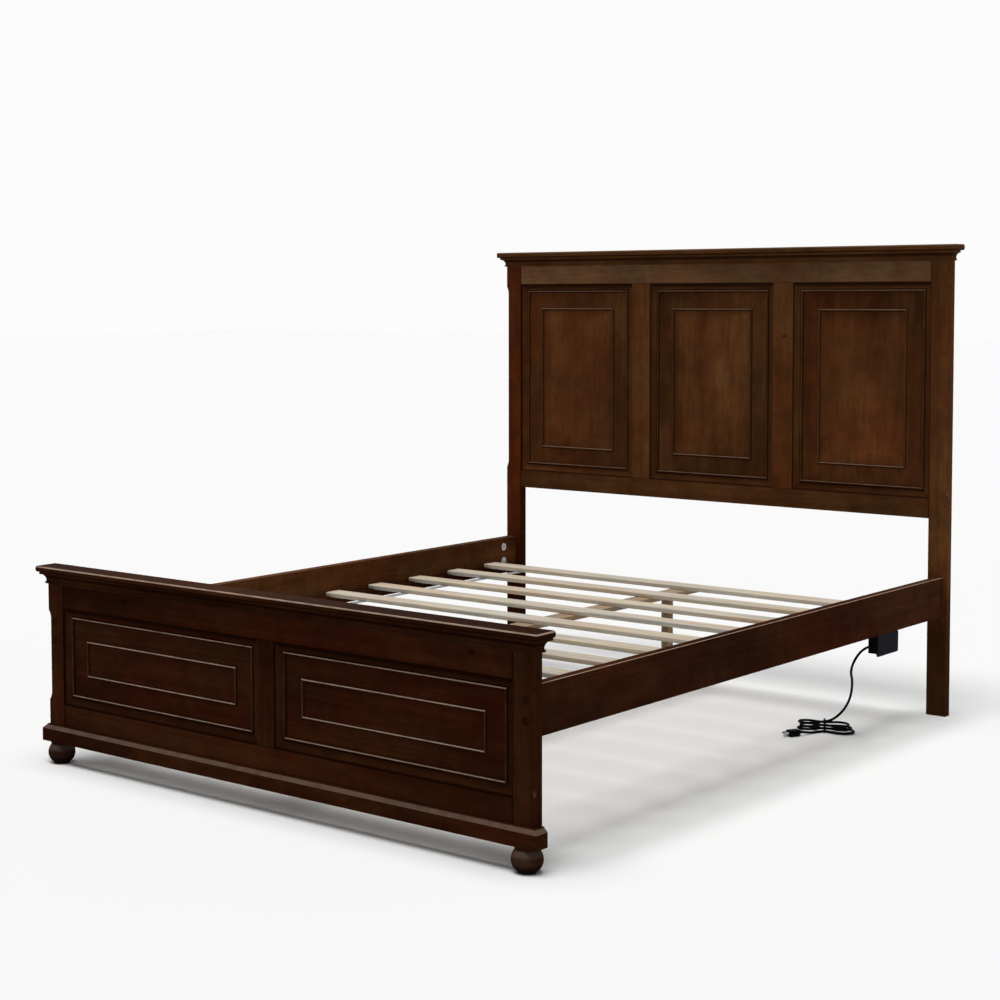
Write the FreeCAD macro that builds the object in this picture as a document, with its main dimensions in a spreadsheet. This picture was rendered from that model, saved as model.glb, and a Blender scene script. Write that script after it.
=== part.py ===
import FreeCAD, Part
import math
import os
import Sketcher

# Panel bed with a three-panel headboard, a two-panel footboard on bun feet, side rails,
# slats on ledges with a centre support, and a power box with its lead.
# Millimetres. X runs across the bed, Y from the footboard to the headboard, Z up.
# The origin is on the floor, midway along and across the bed.

V = FreeCAD.Vector
doc = FreeCAD.newDocument("panel_bed")
sheet = doc.addObject("Spreadsheet::Sheet", "dims")

SIZES = {
    # whole bed
    "bed_width": 1628.0,
    "clear_length": 2038.0,
    "head_height": 1405.0,
    "foot_height": 538.0,
    # posts, rails, mullions and grooves
    "frame_thk": 28.0,
    "post_width": 60.0,
    "groove_front": 14.0,
    "groove_width": 8.0,
    "groove_depth": 10.0,
    "panel_lap": 8.0,
    "tenon_length": 24.0,
    "tenon_gap": 1.0,
    "head_open_bottom": 651.0,
    "head_open_top": 1295.0,
    "head_rail_bottom": 591.0,
    "head_mullion": 69.0,
    "foot_open_bottom": 164.0,
    "foot_open_top": 426.0,
    "foot_mullion": 58.0,
    "foot_frame_bottom": 60.0,
    # stopped chamfers on the posts
    "chamfer_side": 9.0,
    "chamfer_runout": 24.0,
    "chamfer_margin": 8.0,
    # caps and bed moulds
    "head_cap_thk": 18.0,
    "head_cap_side": 28.0,
    "head_cap_front": 25.0,
    "head_cap_back": 7.0,
    "head_mould_tall": 30.0,
    "foot_cap_thk": 16.0,
    "foot_cap_side": 25.0,
    "foot_cap_front": 26.0,
    "foot_cap_back": 19.0,
    "foot_mould_tall": 32.0,
    "cap_round": 5.0,
    "mould_proj": 17.0,
    "mould_fillet": 7.0,
    "mould_fillet_back": 4.0,
    "mould_lip": 5.0,
    "mould_lip_proj": 6.0,
    "mould_lip_step": 2.0,
    # plinth
    "plinth_proj": 15.0,
    "plinth_face": 34.0,
    "plinth_tall": 45.0,
    "plinth_top_proj": 6.0,
    "plinth_top_edge": 2.0,
    # panel mouldings
    "ring_width": 30.0,
    "ring_edge": 2.0,
    "ring_front": 3.0,
    "bead_width": 8.0,
    "bead_front": 8.5,
    "field_inset": 81.0,
    "field_bead_tall": 4.5,
    # side rails, ledges and slats
    "rail_inset": 12.0,
    "rail_thk": 25.0,
    "rail_bottom": 300.0,
    "rail_tall": 118.0,
    "rail_round": 2.0,
    "ledge": 25.0,
    "ledge_end_gap": 15.0,
    "slat_count": 10.0,
    "slat_width": 62.0,
    "slat_thk": 14.0,
    "slat_head_gap": 123.5,
    "slat_foot_gap": 39.0,
    "slat_end_gap": 3.0,
    "slat_round": 4.0,
    "tape_width": 28.0,
    "tape_thk": 0.8,
    "tape_from_end": 134.0,
    "tape_past": 8.0,
    "centre_rail_width": 60.0,
    "centre_rail_thk": 14.0,
    "centre_rail_past": 18.0,
    "leg_side": 26.0,
    "leg_end_gap": 246.0,
    # bun feet
    "foot_ball": 73.0,
    "foot_ball_level": 29.0,
    "foot_base": 42.0,
    "foot_base_edge": 4.0,
    "foot_neck": 58.0,
    "foot_neck_tall": 9.0,
    "foot_bolt": 8.0,
    "foot_bolt_length": 70.0,
    # bed bolts and barrel nuts
    "bolt": 8.0,
    "bolt_play": 0.3,
    "bolt_low": 38.0,
    "bolt_high": 86.0,
    "nut_from_end": 70.0,
    "nut": 16.0,
    "nut_deep": 19.0,
    "nut_flange": 25.0,
    "nut_flange_thk": 1.6,
    "nut_drive": 7.0,
    "bolt_past_nut": 12.0,
    "bolt_head": 15.0,
    "bolt_head_thk": 5.5,
    "washer": 20.0,
    "washer_thk": 1.5,
    "head_sink": 22.0,
    "head_sink_deep": 12.0,
    "plug_play": 0.1,
    # screws
    "screw": 4.0,
    "screw_head": 8.0,
    "screw_head_thk": 2.6,
    "screw_play": 0.2,
    "slat_screw_length": 32.0,
    "ledge_screw_length": 40.0,
    "leg_screw_length": 60.0,
    # power box
    "box_y": 676.0,
    "box_length": 118.0,
    "box_tall": 54.0,
    "box_thk": 27.0,
    "box_round": 4.0,
    "box_proud": 5.0,
    "plate_length": 127.0,
    "plate_tall": 61.0,
    "plate_thk": 5.0,
    "plate_round": 6.0,
    "plate_edge": 1.5,
    "exit_drop": 3.0,
    "exit_out": 1.5,
    "relief_base": 11.0,
    "relief_tip": 9.0,
    "relief_length": 22.0,
    "cord": 7.0,
    # plug
    "plug_length": 32.0,
    "plug_wide": 25.0,
    "plug_tall": 18.0,
    "plug_neck": 11.0,
    "plug_neck_length": 12.0,
    "blade_length": 16.0,
    "blade_tall": 6.3,
    "blade_thk": 1.5,
    "blade_spacing": 12.7,
    "earth_pin": 4.8,
    "earth_drop": 5.6,
}


class Size:
    """A length: its value now, and the sheet formula that it comes from."""

    def __init__(self, value, formula):
        self.value = float(value)
        self.formula = formula

    def mix(self, other, sign, answer):
        return Size(answer, "(%s %s %s)" % (self.formula, sign, other.formula))

    def __add__(self, other):
        other = as_size(other)
        return self.mix(other, "+", self.value + other.value)

    def __radd__(self, other):
        return as_size(other) + self

    def __sub__(self, other):
        other = as_size(other)
        return self.mix(other, "-", self.value - other.value)

    def __rsub__(self, other):
        return as_size(other) - self

    def __mul__(self, other):
        other = as_size(other)
        return self.mix(other, "*", self.value * other.value)

    def __rmul__(self, other):
        return as_size(other) * self

    def __truediv__(self, other):
        other = as_size(other)
        return self.mix(other, "/", self.value / other.value)

    def __neg__(self):
        return as_size(0) - self

    def __float__(self):
        return self.value


def as_size(number):
    if isinstance(number, Size):
        return number
    return Size(number, repr(float(number)))


def fill_sheet():
    sizes = {}
    for row, (name, value) in enumerate(SIZES.items(), start=1):
        sheet.set("A%d" % row, name)
        sheet.set("B%d" % row, str(value))
        sheet.setAlias("B%d" % row, name)
        sizes[name] = Size(value, "dims." + name)
    doc.recompute()
    return sizes


D = fill_sheet()
NODES = {}

# ---------------------------------------------------------------- derived places

depth = (D["foot_cap_front"] + D["frame_thk"] + D["clear_length"] + D["frame_thk"]
         + D["head_cap_back"])
foot_front = D["foot_cap_front"] - depth / 2
foot_back = foot_front + D["frame_thk"]
head_front = foot_back + D["clear_length"]
head_back = head_front + D["frame_thk"]
post_out = D["bed_width"] / 2
post_in = post_out - D["post_width"]
inner_width = D["bed_width"] - 2 * D["post_width"]
head_frame_top = D["head_height"] - D["head_cap_thk"]
foot_frame_top = D["foot_height"] - D["foot_cap_thk"]
rail_out = post_out - D["rail_inset"]
rail_in = rail_out - D["rail_thk"]
rail_mid = rail_out - D["rail_thk"] / 2
slat_bottom = D["rail_bottom"] + D["ledge"]
bolt_x = D["rail_inset"] + D["rail_thk"] / 2
bolt_hole = D["bolt"] + 2 * D["bolt_play"]
bolt_levels = [D["rail_bottom"] + D["bolt_low"], D["rail_bottom"] + D["bolt_high"]]
slat_first = head_front - D["slat_head_gap"] - D["slat_width"]
slat_last = foot_back + D["slat_foot_gap"]
slat_step = (slat_first - slat_last) / (D["slat_count"] - 1)
screw_hole = D["screw"] + 2 * D["screw_play"]
foot_bolt_in_foot = D["foot_bolt_length"] / 2


# ---------------------------------------------------------------- sketch and feature helpers

def plane_of(body, role):
    for feature in body.Origin.OriginFeatures:
        if feature.Role == role:
            return feature
    raise ValueError(role)


def sketch_on(body, role, name, offset=None):
    sketch = body.newObject("Sketcher::SketchObject", name)
    sketch.AttachmentSupport = [(plane_of(body, role), "")]
    sketch.MapMode = "FlatFace"
    if offset is not None:
        offset = as_size(offset)
        sketch.AttachmentOffset = FreeCAD.Placement(V(0, 0, offset.value), FreeCAD.Rotation())
        sketch.setExpression("AttachmentOffset.Base.z", offset.formula)
    return sketch


def pin_vertex(sketch, index, x, y):
    """Ties the first point of a sketch edge to two sizes measured from the sketch's origin."""
    for kind, axis, size in (("DistanceX", -2, as_size(x)), ("DistanceY", -1, as_size(y))):
        if size.value == 0.0:
            sketch.addConstraint(Sketcher.Constraint("PointOnObject", index, 1, axis))
        else:
            number = sketch.addConstraint(
                Sketcher.Constraint(kind, -1, 1, index, 1, size.value))
            sketch.setExpression("Constraints[%d]" % number, size.formula)


def outline(sketch, points):
    """A closed outline of straight edges through points, each tied to its two sizes."""
    first = sketch.GeometryCount
    places = [V(float(x), float(y), 0) for x, y in points]
    count = len(places)
    for index in range(count):
        edge = Part.LineSegment(places[index], places[(index + 1) % count])
        sketch.addGeometry(edge, False)
    for index in range(count):
        following = first + (index + 1) % count
        sketch.addConstraint(
            Sketcher.Constraint("Coincident", first + index, 2, following, 1))
    for index, (x, y) in enumerate(points):
        pin_vertex(sketch, first + index, x, y)
    return sketch


def rectangle(sketch, x, y, wide, tall):
    x, y = as_size(x), as_size(y)
    return outline(sketch, [(x, y), (x + wide, y), (x + wide, y + tall), (x, y + tall)])


def circle(sketch, x, y, diameter):
    number = sketch.addGeometry(
        Part.Circle(V(float(x), float(y), 0), V(0, 0, 1), float(diameter) / 2), False)
    for kind, axis, size in (("DistanceX", -2, as_size(x)), ("DistanceY", -1, as_size(y))):
        if size.value == 0.0:
            sketch.addConstraint(Sketcher.Constraint("PointOnObject", number, 3, axis))
        else:
            row = sketch.addConstraint(
                Sketcher.Constraint(kind, -1, 1, number, 3, size.value))
            sketch.setExpression("Constraints[%d]" % row, size.formula)
    row = sketch.addConstraint(Sketcher.Constraint("Diameter", number, float(diameter)))
    sketch.setExpression("Constraints[%d]" % row, as_size(diameter).formula)
    return sketch


def profile(sketch, steps):
    """A closed outline of steps: a step is (x, y), or (x, y, mid x, mid y) for an arc from the
    step before through the middle point. Every corner is tied to its two sizes."""
    places = [V(float(step[0]), float(step[1]), 0) for step in steps]
    edges = []
    radii = {}
    for index, step in enumerate(steps):
        start = places[index - 1]
        if len(step) == 4:
            middle = V(float(step[2]), float(step[3]), 0)
            clockwise = (middle - start).cross(places[index] - middle).z < 0
            arc_ends = (places[index], start) if clockwise else (start, places[index])
            edges.append(Part.Arc(arc_ends[0], middle, arc_ends[1]))
            radii[index] = edges[-1].toShape().Curve.Radius
        else:
            edges.append(Part.LineSegment(start, places[index]))
    sketch.addGeometry(edges, False)
    ends = [nearest_end(sketch, index, places[index]) for index in range(len(steps))]
    starts = [3 - end for end in ends]
    constraints = []
    formulas = {}
    for index, step in enumerate(steps):
        other = (index + 1) % len(steps)
        constraints.append(
            Sketcher.Constraint("Coincident", index, ends[index], other, starts[other]))
        for kind, axis, size in (("DistanceX", -2, step[0]), ("DistanceY", -1, step[1])):
            size = as_size(size)
            if size.value == 0.0:
                constraints.append(
                    Sketcher.Constraint("PointOnObject", other, starts[other], axis))
            else:
                formulas[len(constraints)] = size.formula
                constraints.append(Sketcher.Constraint(
                    kind, -1, 1, other, starts[other], size.value))
    for index, radius in radii.items():
        constraints.append(Sketcher.Constraint("Radius", index, radius))
    sketch.addConstraint(constraints)
    for number, formula in formulas.items():
        sketch.setExpression("Constraints[%d]" % number, formula)
    return sketch


def nearest_end(sketch, index, place):
    edge = sketch.Geometry[index]
    if (edge.StartPoint - place).Length < (edge.EndPoint - place).Length:
        return 1
    return 2


def pad(body, sketch, length, reversed_way=False, both_ways=False):
    feature = body.newObject("PartDesign::Pad", body.Label + "_pad")
    feature.Profile = sketch
    feature.Midplane = both_ways
    feature.Reversed = reversed_way
    feature.Length = float(length)
    feature.setExpression("Length", as_size(length).formula)
    sketch.Visibility = False
    return feature


def pocket(body, sketch, length=None, reversed_way=False, both_ways=False):
    feature = body.newObject("PartDesign::Pocket", body.Label + "_pocket")
    feature.Profile = sketch
    feature.Midplane = both_ways
    feature.Reversed = reversed_way
    if length is None:
        feature.Type = "ThroughAll"
    else:
        feature.Length = float(length)
        feature.setExpression("Length", as_size(length).formula)
    sketch.Visibility = False
    return feature


def new_body(label):
    body = doc.addObject("PartDesign::Body", label)
    body.Label = label
    return body


def put(thing, x, y, z, axis=None, angle=0.0):
    """Places a piece: its corner at x, y, z, turned by angle about axis."""
    turn = FreeCAD.Rotation(V(*axis), angle) if axis else FreeCAD.Rotation()
    thing.Placement = FreeCAD.Placement(V(float(x), float(y), float(z)), turn)
    for name, size in (("x", x), ("y", y), ("z", z)):
        thing.setExpression("Placement.Base." + name, as_size(size).formula)
    return thing


def keep(label, thing):
    NODES[label] = thing
    return thing


def keep_group(label, things):
    """One node of several separate solids, such as the mitred strips of one moulding."""
    group = doc.addObject("Part::Compound", label)
    group.Label = label
    group.Links = things
    return keep(label, group)


def round_edges(body, base, radius, chosen=None):
    """Rounds the edges of a feature, all of them or the ones that a test picks."""
    doc.recompute()
    names = []
    for number, edge in enumerate(base.Shape.Edges, start=1):
        if chosen is None or chosen(edge):
            names.append("Edge%d" % number)
    fillet = body.newObject("PartDesign::Fillet", body.Label + "_round")
    fillet.Base = (base, names)
    fillet.Radius = float(radius)
    fillet.setExpression("Radius", as_size(radius).formula)
    return fillet


# ---------------------------------------------------------------- posts

def stopped_chamfer(body, corner_x, turn, low, high):
    """Cuts a chamfer that runs out in a curve at both ends, on the upright corner at corner_x.
    The sketch stands in the plane that halves the corner."""
    side = D["chamfer_side"].value
    reach = side / math.sqrt(2)
    run = D["chamfer_runout"].value
    radius = (run * run + reach * reach) / (2 * reach)
    half_turn = math.asin(run / radius) / 2
    sag_x = reach - radius * (1 - math.cos(half_turn))
    sag_z = radius * math.sin(half_turn)
    sketch = body.newObject("Sketcher::SketchObject", body.Label + "_chamfer_sketch")
    sketch.AttachmentSupport = [(plane_of(body, "XZ_Plane"), "")]
    sketch.MapMode = "FlatFace"
    sketch.AttachmentOffset = FreeCAD.Placement(
        V(float(corner_x), 0, 0), FreeCAD.Rotation(V(0, 1, 0), turn))
    sketch.setExpression("AttachmentOffset.Base.x", as_size(corner_x).formula)
    low, high = float(low), float(high)
    over = 3.0
    profile(sketch, [
        (over, low),
        (0, low),
        (-reach, low + run, -sag_x, low + run - sag_z),
        (-reach, high - run),
        (0, high, -sag_x, high - run + sag_z),
        (over, high),
    ])
    pocket(body, sketch, 4 * D["chamfer_side"], both_ways=True)


def post(label, side, front, bottom, top, tenons, opening, sink_at_back, foot_hole):
    """An upright post: side is 1 at the viewer's right, -1 at the left. Its own frame has the
    corner nearest the bed's left front foot at the origin."""
    body = new_body(label)
    tall = top - bottom
    pad(body, rectangle(sketch_on(body, "XY_Plane", label + "_section"), 0, 0,
                        D["post_width"], D["frame_thk"]), tall)
    inner_face = D["post_width"] if side < 0 else 0
    outer_edge = D["post_width"] if side > 0 else 0
    groove_low = opening[0] - D["groove_depth"] - bottom
    groove = rectangle(
        sketch_on(body, "YZ_Plane", label + "_groove", inner_face), D["groove_front"],
        groove_low, D["groove_width"], opening[1] - opening[0] + 2 * D["groove_depth"])
    pocket(body, groove, D["groove_depth"], reversed_way=side > 0)
    mortises = sketch_on(body, "YZ_Plane", label + "_mortises", inner_face)
    for low, high in tenons:
        rectangle(mortises, D["groove_front"], low - bottom, D["groove_width"], high - low)
    pocket(body, mortises, D["tenon_length"], reversed_way=side > 0)
    bolt_side = D["post_width"] - bolt_x if side > 0 else bolt_x
    holes = sketch_on(body, "XZ_Plane", label + "_bolt_holes")
    for level in bolt_levels:
        circle(holes, bolt_side, level - bottom, bolt_hole)
    pocket(body, holes, None, both_ways=True)
    # the plane's normal points out of the front face
    sink_face = -D["frame_thk"] if sink_at_back else 0
    sinks = sketch_on(body, "XZ_Plane", label + "_head_sinks", sink_face)
    for level in bolt_levels:
        circle(sinks, bolt_side, level - bottom, D["head_sink"])
    pocket(body, sinks, D["head_sink_deep"], reversed_way=sink_at_back)
    if foot_hole:
        hole = circle(sketch_on(body, "XY_Plane", label + "_foot_hole"),
                      D["post_width"] / 2, D["frame_thk"] / 2,
                      D["foot_bolt"] + 2 * D["bolt_play"])
        pocket(body, hole, D["foot_bolt_length"] - foot_bolt_in_foot + 1, reversed_way=True)
    turn = -45.0 if side > 0 else -135.0
    margin = D["chamfer_margin"]
    stopped_chamfer(body, outer_edge, turn, opening[0] - bottom + margin,
                    opening[1] - bottom - margin)
    corner = post_in if side > 0 else -post_out
    put(body, corner, front, bottom)
    return keep(label, body)


def tenon_spans(rail_bottom, opening, rail_top):
    """Heights of the two tenons, set in from the rails' edges by the groove's depth."""
    inset = D["groove_depth"]
    return [(rail_bottom + inset, opening[0] - inset), (opening[1] + inset, rail_top - inset)]


# ---------------------------------------------------------------- rails, mullions, panels

def frame_rail(label, front, low, high, groove_on_top):
    """A horizontal rail with a tenon at each end and a groove for the panels."""
    body = new_body(label)
    tall = high - low
    pad(body, rectangle(sketch_on(body, "YZ_Plane", label + "_section"), 0, 0,
                        D["frame_thk"], tall), inner_width)
    reach = D["tenon_length"] - D["tenon_gap"]
    inset = D["groove_depth"]
    for number, (start, way) in enumerate(((inner_width, False), (0, True))):
        tenon = rectangle(sketch_on(body, "YZ_Plane", "%s_tenon%d" % (label, number), start),
                          D["groove_front"], inset, D["groove_width"], tall - 2 * inset)
        pad(body, tenon, reach, reversed_way=way)
    groove_low = tall - D["groove_depth"] if groove_on_top else 0
    groove = rectangle(sketch_on(body, "YZ_Plane", label + "_groove"), D["groove_front"],
                       groove_low, D["groove_width"], D["groove_depth"])
    pocket(body, groove, inner_width, reversed_way=True)
    put(body, -post_in, front, low)
    return keep(label, body)


def mullion(label, front, left, wide, opening):
    """An upright between two panels, with stub tenons in the rails' grooves."""
    body = new_body(label)
    tall = opening[1] - opening[0]
    stub = D["groove_depth"]
    pad(body, rectangle(sketch_on(body, "XY_Plane", label + "_section"), 0, 0, wide,
                        D["frame_thk"]), tall)
    for number, (start, way) in enumerate(((tall, False), (0, True))):
        tenon = rectangle(sketch_on(body, "XY_Plane", "%s_stub%d" % (label, number), start),
                          0, D["groove_front"], wide, D["groove_width"])
        pad(body, tenon, stub, reversed_way=way)
    grooves = sketch_on(body, "XY_Plane", label + "_grooves", -stub)
    rectangle(grooves, 0, D["groove_front"], D["groove_depth"], D["groove_width"])
    rectangle(grooves, wide - D["groove_depth"], D["groove_front"], D["groove_depth"],
              D["groove_width"])
    pocket(body, grooves, tall + 2 * stub, reversed_way=True)
    put(body, left, front, opening[0])
    return keep(label, body)


def panel(label, front, left, wide, opening):
    body = new_body(label)
    lap = D["panel_lap"]
    pad(body, rectangle(sketch_on(body, "XY_Plane", label + "_section"), 0, 0,
                        wide + 2 * lap, D["groove_width"]), opening[1] - opening[0] + 2 * lap)
    put(body, left - lap, front + D["groove_front"], opening[0] - lap)
    return keep(label, body)


# ---------------------------------------------------------------- panel mouldings

def mitred_strip(label, length, wide, steps):
    """A strip along X whose section is drawn in depth (Y) and inward distance (Z), with both
    ends mitred so that its inner edge is the shorter one."""
    body = new_body(label)
    pad(body, profile(sketch_on(body, "YZ_Plane", label + "_section"), steps), length)
    ends = sketch_on(body, "XZ_Plane", label + "_mitres")
    over = 2.0
    outline(ends, [(-over, -over), (wide + over, wide + over), (-over, wide + over)])
    outline(ends, [(length + over, -over), (length + over, wide + over),
                   (length - wide - over, wide + over)])
    pocket(body, ends, None, both_ways=True)
    return body


def ring_section():
    """A hollow slope from the frame's edge down to the panel, and a round bead inside it."""
    back = D["groove_front"].value
    wide = D["ring_width"].value
    bead = D["bead_width"].value
    crest = D["bead_front"].value
    edge = D["ring_front"].value
    foot = back - D["ring_edge"].value
    dip_z = (wide - bead) * 0.42
    dip_y = edge + (foot - edge) * 0.72
    return [
        (back, 0),
        (back, wide),
        (foot, wide),
        (foot, wide - bead, crest, wide - bead / 2),
        (edge, 0, dip_y, dip_z),
    ]


def bead_section():
    back = D["groove_front"].value
    wide = D["bead_width"].value
    side = back - 1.0
    crest = back - D["field_bead_tall"].value
    return [(back, 0), (back, wide), (side, wide), (side, 0, crest, wide / 2)]


def moulding_ring(label, front, left, low, wide, tall, width, section):
    """Four mitred strips round a rectangle on the panel's face."""
    right, high = left + wide, low + tall
    spots = [
        ("bottom", wide, left, low, 0.0),
        ("top", wide, right, high, 180.0),
        ("left", tall, left, high, 90.0),
        ("right", tall, right, low, -90.0),
    ]
    strips = []
    for name, length, x, z, angle in spots:
        strip = mitred_strip("%s_%s" % (label, name), length, width, section)
        put(strip, x, front, z, (0, 1, 0), angle)
        strips.append(strip)
    return strips


def panel_mouldings(label, front, left, wide, opening):
    tall = opening[1] - opening[0]
    inset = D["field_inset"]
    strips = moulding_ring(label + "_outer", front, left, opening[0], wide, tall,
                           D["ring_width"], ring_section())
    strips += moulding_ring(label + "_inner", front, left + inset, opening[0] + inset,
                            wide - 2 * inset, tall - 2 * inset, D["bead_width"],
                            bead_section())
    return keep_group(label, strips)


# ---------------------------------------------------------------- caps, bed moulds, plinth

def cap(label, side, front_over, back_over, front, thick, top):
    body = new_body(label)
    board = pad(body, rectangle(sketch_on(body, "XY_Plane", label + "_plan"), 0, 0,
                                D["bed_width"] + 2 * side,
                                D["frame_thk"] + front_over + back_over), thick)
    round_edges(body, board, D["cap_round"])
    put(body, -post_out - side, front - front_over, top - thick)
    return keep(label, body)


def outer_run(label, length, proj, steps, mitre_start, mitre_end):
    """A moulding along X that stands out along Y from the frame's face, mitred at its ends so
    that its outer edge is the longer one. Returns the body and how far it starts before zero."""
    body = new_body(label)
    before = proj if mitre_start else as_size(0)
    after = proj if mitre_end else as_size(0)
    whole = length + before + after
    pad(body, profile(sketch_on(body, "YZ_Plane", label + "_section"), steps), whole)
    if mitre_start or mitre_end:
        ends = sketch_on(body, "XY_Plane", label + "_mitres")
        over = 2.0
        if mitre_start:
            outline(ends, [(-over, -over), (proj + over, -over), (-over, proj + over)])
        if mitre_end:
            outline(ends, [(whole + over, -over), (whole + over, proj + over),
                           (whole - proj - over, -over)])
        pocket(body, ends, None, both_ways=True)
    return body, before


def bed_mould_section(tall, proj):
    """Fillet under the cap, a cove, and a lip at the bottom; x is the distance out, y is up."""
    tall, proj = float(tall), float(proj)
    fillet = D["mould_fillet"].value
    inner = proj - D["mould_fillet_back"].value
    lip = D["mould_lip"].value
    lip_out = min(D["mould_lip_proj"].value, inner - 3.0)
    cove_in = lip_out - D["mould_lip_step"].value
    cove_wide = inner - cove_in
    cove_tall = tall - fillet - lip
    bend = math.sqrt(0.5)
    return [
        (0, tall),
        (0, 0),
        (lip_out, 0),
        (lip_out, lip),
        (cove_in, lip),
        (inner, tall - fillet, inner - cove_wide * bend, lip + cove_tall * bend),
        (proj, tall - fillet),
        (proj, tall),
    ]


def plinth_section():
    proj = D["plinth_proj"].value
    face = D["plinth_face"].value
    tall = D["plinth_tall"].value
    inner = D["plinth_top_proj"].value
    edge = D["plinth_top_edge"].value
    return [(0, 0), (proj, 0), (proj, face), (inner, tall - edge), (inner, tall), (0, tall)]


def wrap_moulding(label, front, bottom, proj, section, at_back=False):
    """Front run and two end returns round a frame, with a back run where one is asked for."""
    thick = D["frame_thk"]
    run, before = outer_run(label + "_front", D["bed_width"], proj, section, True, True)
    put(run, post_out + before, front, bottom, (0, 0, 1), 180.0)
    pieces = [run]
    left, before = outer_run(label + "_left", thick, proj, section, True, at_back)
    put(left, -post_out, front - before, bottom, (0, 0, 1), 90.0)
    pieces.append(left)
    right, before = outer_run(label + "_right", thick, proj, section, at_back, True)
    put(right, post_out, front + thick + before, bottom, (0, 0, 1), -90.0)
    pieces.append(right)
    if at_back:
        back, before = outer_run(label + "_back", D["bed_width"], proj, section, True, True)
        put(back, -post_out - before, front + thick, bottom)
        pieces.append(back)
    return keep_group(label, pieces)


# ---------------------------------------------------------------- headboard and footboard

def headboard():
    opening = (D["head_open_bottom"], D["head_open_top"])
    spans = tenon_spans(D["head_rail_bottom"], opening, head_frame_top)
    for name, side in (("left", -1), ("right", 1)):
        post("headboard_post_" + name, side, head_front, as_size(0), head_frame_top, spans,
             opening, True, False)
    frame_rail("headboard_top_rail", head_front, opening[1], head_frame_top, False)
    frame_rail("headboard_bottom_rail", head_front, D["head_rail_bottom"], opening[0], True)
    wide = (inner_width - 2 * D["head_mullion"]) / 3
    step = wide + D["head_mullion"]
    for number, name in enumerate(("left", "right")):
        mullion("headboard_mullion_" + name, head_front, -post_in + wide + number * step,
                D["head_mullion"], opening)
    for number, name in enumerate(("left", "centre", "right")):
        left = -post_in + number * step
        panel("headboard_panel_" + name, head_front, left, wide, opening)
        panel_mouldings("headboard_mouldings_" + name, head_front, left, wide, opening)
    cap("headboard_cap", D["head_cap_side"], D["head_cap_front"], D["head_cap_back"],
        head_front, D["head_cap_thk"], D["head_height"])
    wrap_moulding("headboard_bed_mould", head_front, head_frame_top - D["head_mould_tall"],
                  D["mould_proj"], bed_mould_section(D["head_mould_tall"], D["mould_proj"]))


def footboard():
    opening = (D["foot_open_bottom"], D["foot_open_top"])
    low = D["foot_frame_bottom"]
    spans = tenon_spans(low, opening, foot_frame_top)
    for name, side in (("left", -1), ("right", 1)):
        post("footboard_post_" + name, side, foot_front, low, foot_frame_top, spans, opening,
             False, True)
    frame_rail("footboard_top_rail", foot_front, opening[1], foot_frame_top, False)
    frame_rail("footboard_bottom_rail", foot_front, low, opening[0], True)
    wide = (inner_width - D["foot_mullion"]) / 2
    mullion("footboard_mullion", foot_front, -post_in + wide, D["foot_mullion"], opening)
    for number, name in enumerate(("left", "right")):
        left = -post_in + number * (wide + D["foot_mullion"])
        panel("footboard_panel_" + name, foot_front, left, wide, opening)
        panel_mouldings("footboard_mouldings_" + name, foot_front, left, wide, opening)
    cap("footboard_cap", D["foot_cap_side"], D["foot_cap_front"], D["foot_cap_back"],
        foot_front, D["foot_cap_thk"], D["foot_height"])
    wrap_moulding("footboard_bed_mould", foot_front, foot_frame_top - D["foot_mould_tall"],
                  D["mould_proj"], bed_mould_section(D["foot_mould_tall"], D["mould_proj"]),
                  True)
    wrap_moulding("footboard_plinth", foot_front, low, D["plinth_proj"], plinth_section())
    for name, side in (("left", -1), ("right", 1)):
        bun_foot("bun_foot_" + name, side * (post_out - D["post_width"] / 2))


def bun_foot(label, x):
    """A turned foot: small flat base, round ball, narrow neck under the post."""
    body = new_body(label)
    tall = D["foot_frame_bottom"].value
    base = D["foot_base"].value / 2
    edge = D["foot_base_edge"].value
    ball = D["foot_ball"].value / 2
    level = D["foot_ball_level"].value
    neck = D["foot_neck"].value / 2
    neck_low = tall - D["foot_neck_tall"].value
    low_start = base + 2.0
    low_mid = arc_middle(low_start, edge, ball, level)
    high_mid = arc_middle(neck, neck_low, ball, level)
    sketch = profile(sketch_on(body, "XZ_Plane", label + "_turning"), [
        (0, 0),
        (base, 0),
        (low_start, edge),
        (ball, level, low_mid[0], low_mid[1]),
        (neck, neck_low, high_mid[0], high_mid[1]),
        (neck - 1.5, neck_low + 2.0),
        (neck + 1.5, tall),
        (0, tall),
    ])
    turned = body.newObject("PartDesign::Revolution", label + "_turned")
    turned.Profile = sketch
    turned.ReferenceAxis = (sketch, ["V_Axis"])
    turned.Angle = 360.0
    sketch.Visibility = False
    hole = circle(sketch_on(body, "XY_Plane", label + "_bolt_hole", D["foot_frame_bottom"]),
                  0, 0, D["foot_bolt"] + 2 * D["bolt_play"])
    pocket(body, hole, foot_bolt_in_foot + 1)
    put(body, x, foot_front + D["frame_thk"] / 2, 0)
    return keep(label, body)


def arc_middle(start_x, start_y, top_x, top_y):
    """Middle point of an arc from a start to its widest point, where it runs upright."""
    run_x, run_y = top_x - start_x, top_y - start_y
    radius = (run_x * run_x + run_y * run_y) / (2 * run_x)
    centre = (top_x - radius, top_y)
    angle = math.asin(abs(run_y) / radius) / 2
    rise = radius * math.sin(angle)
    return centre[0] + radius * math.cos(angle), top_y - math.copysign(rise, run_y)


# ---------------------------------------------------------------- side rails and ledges

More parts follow.
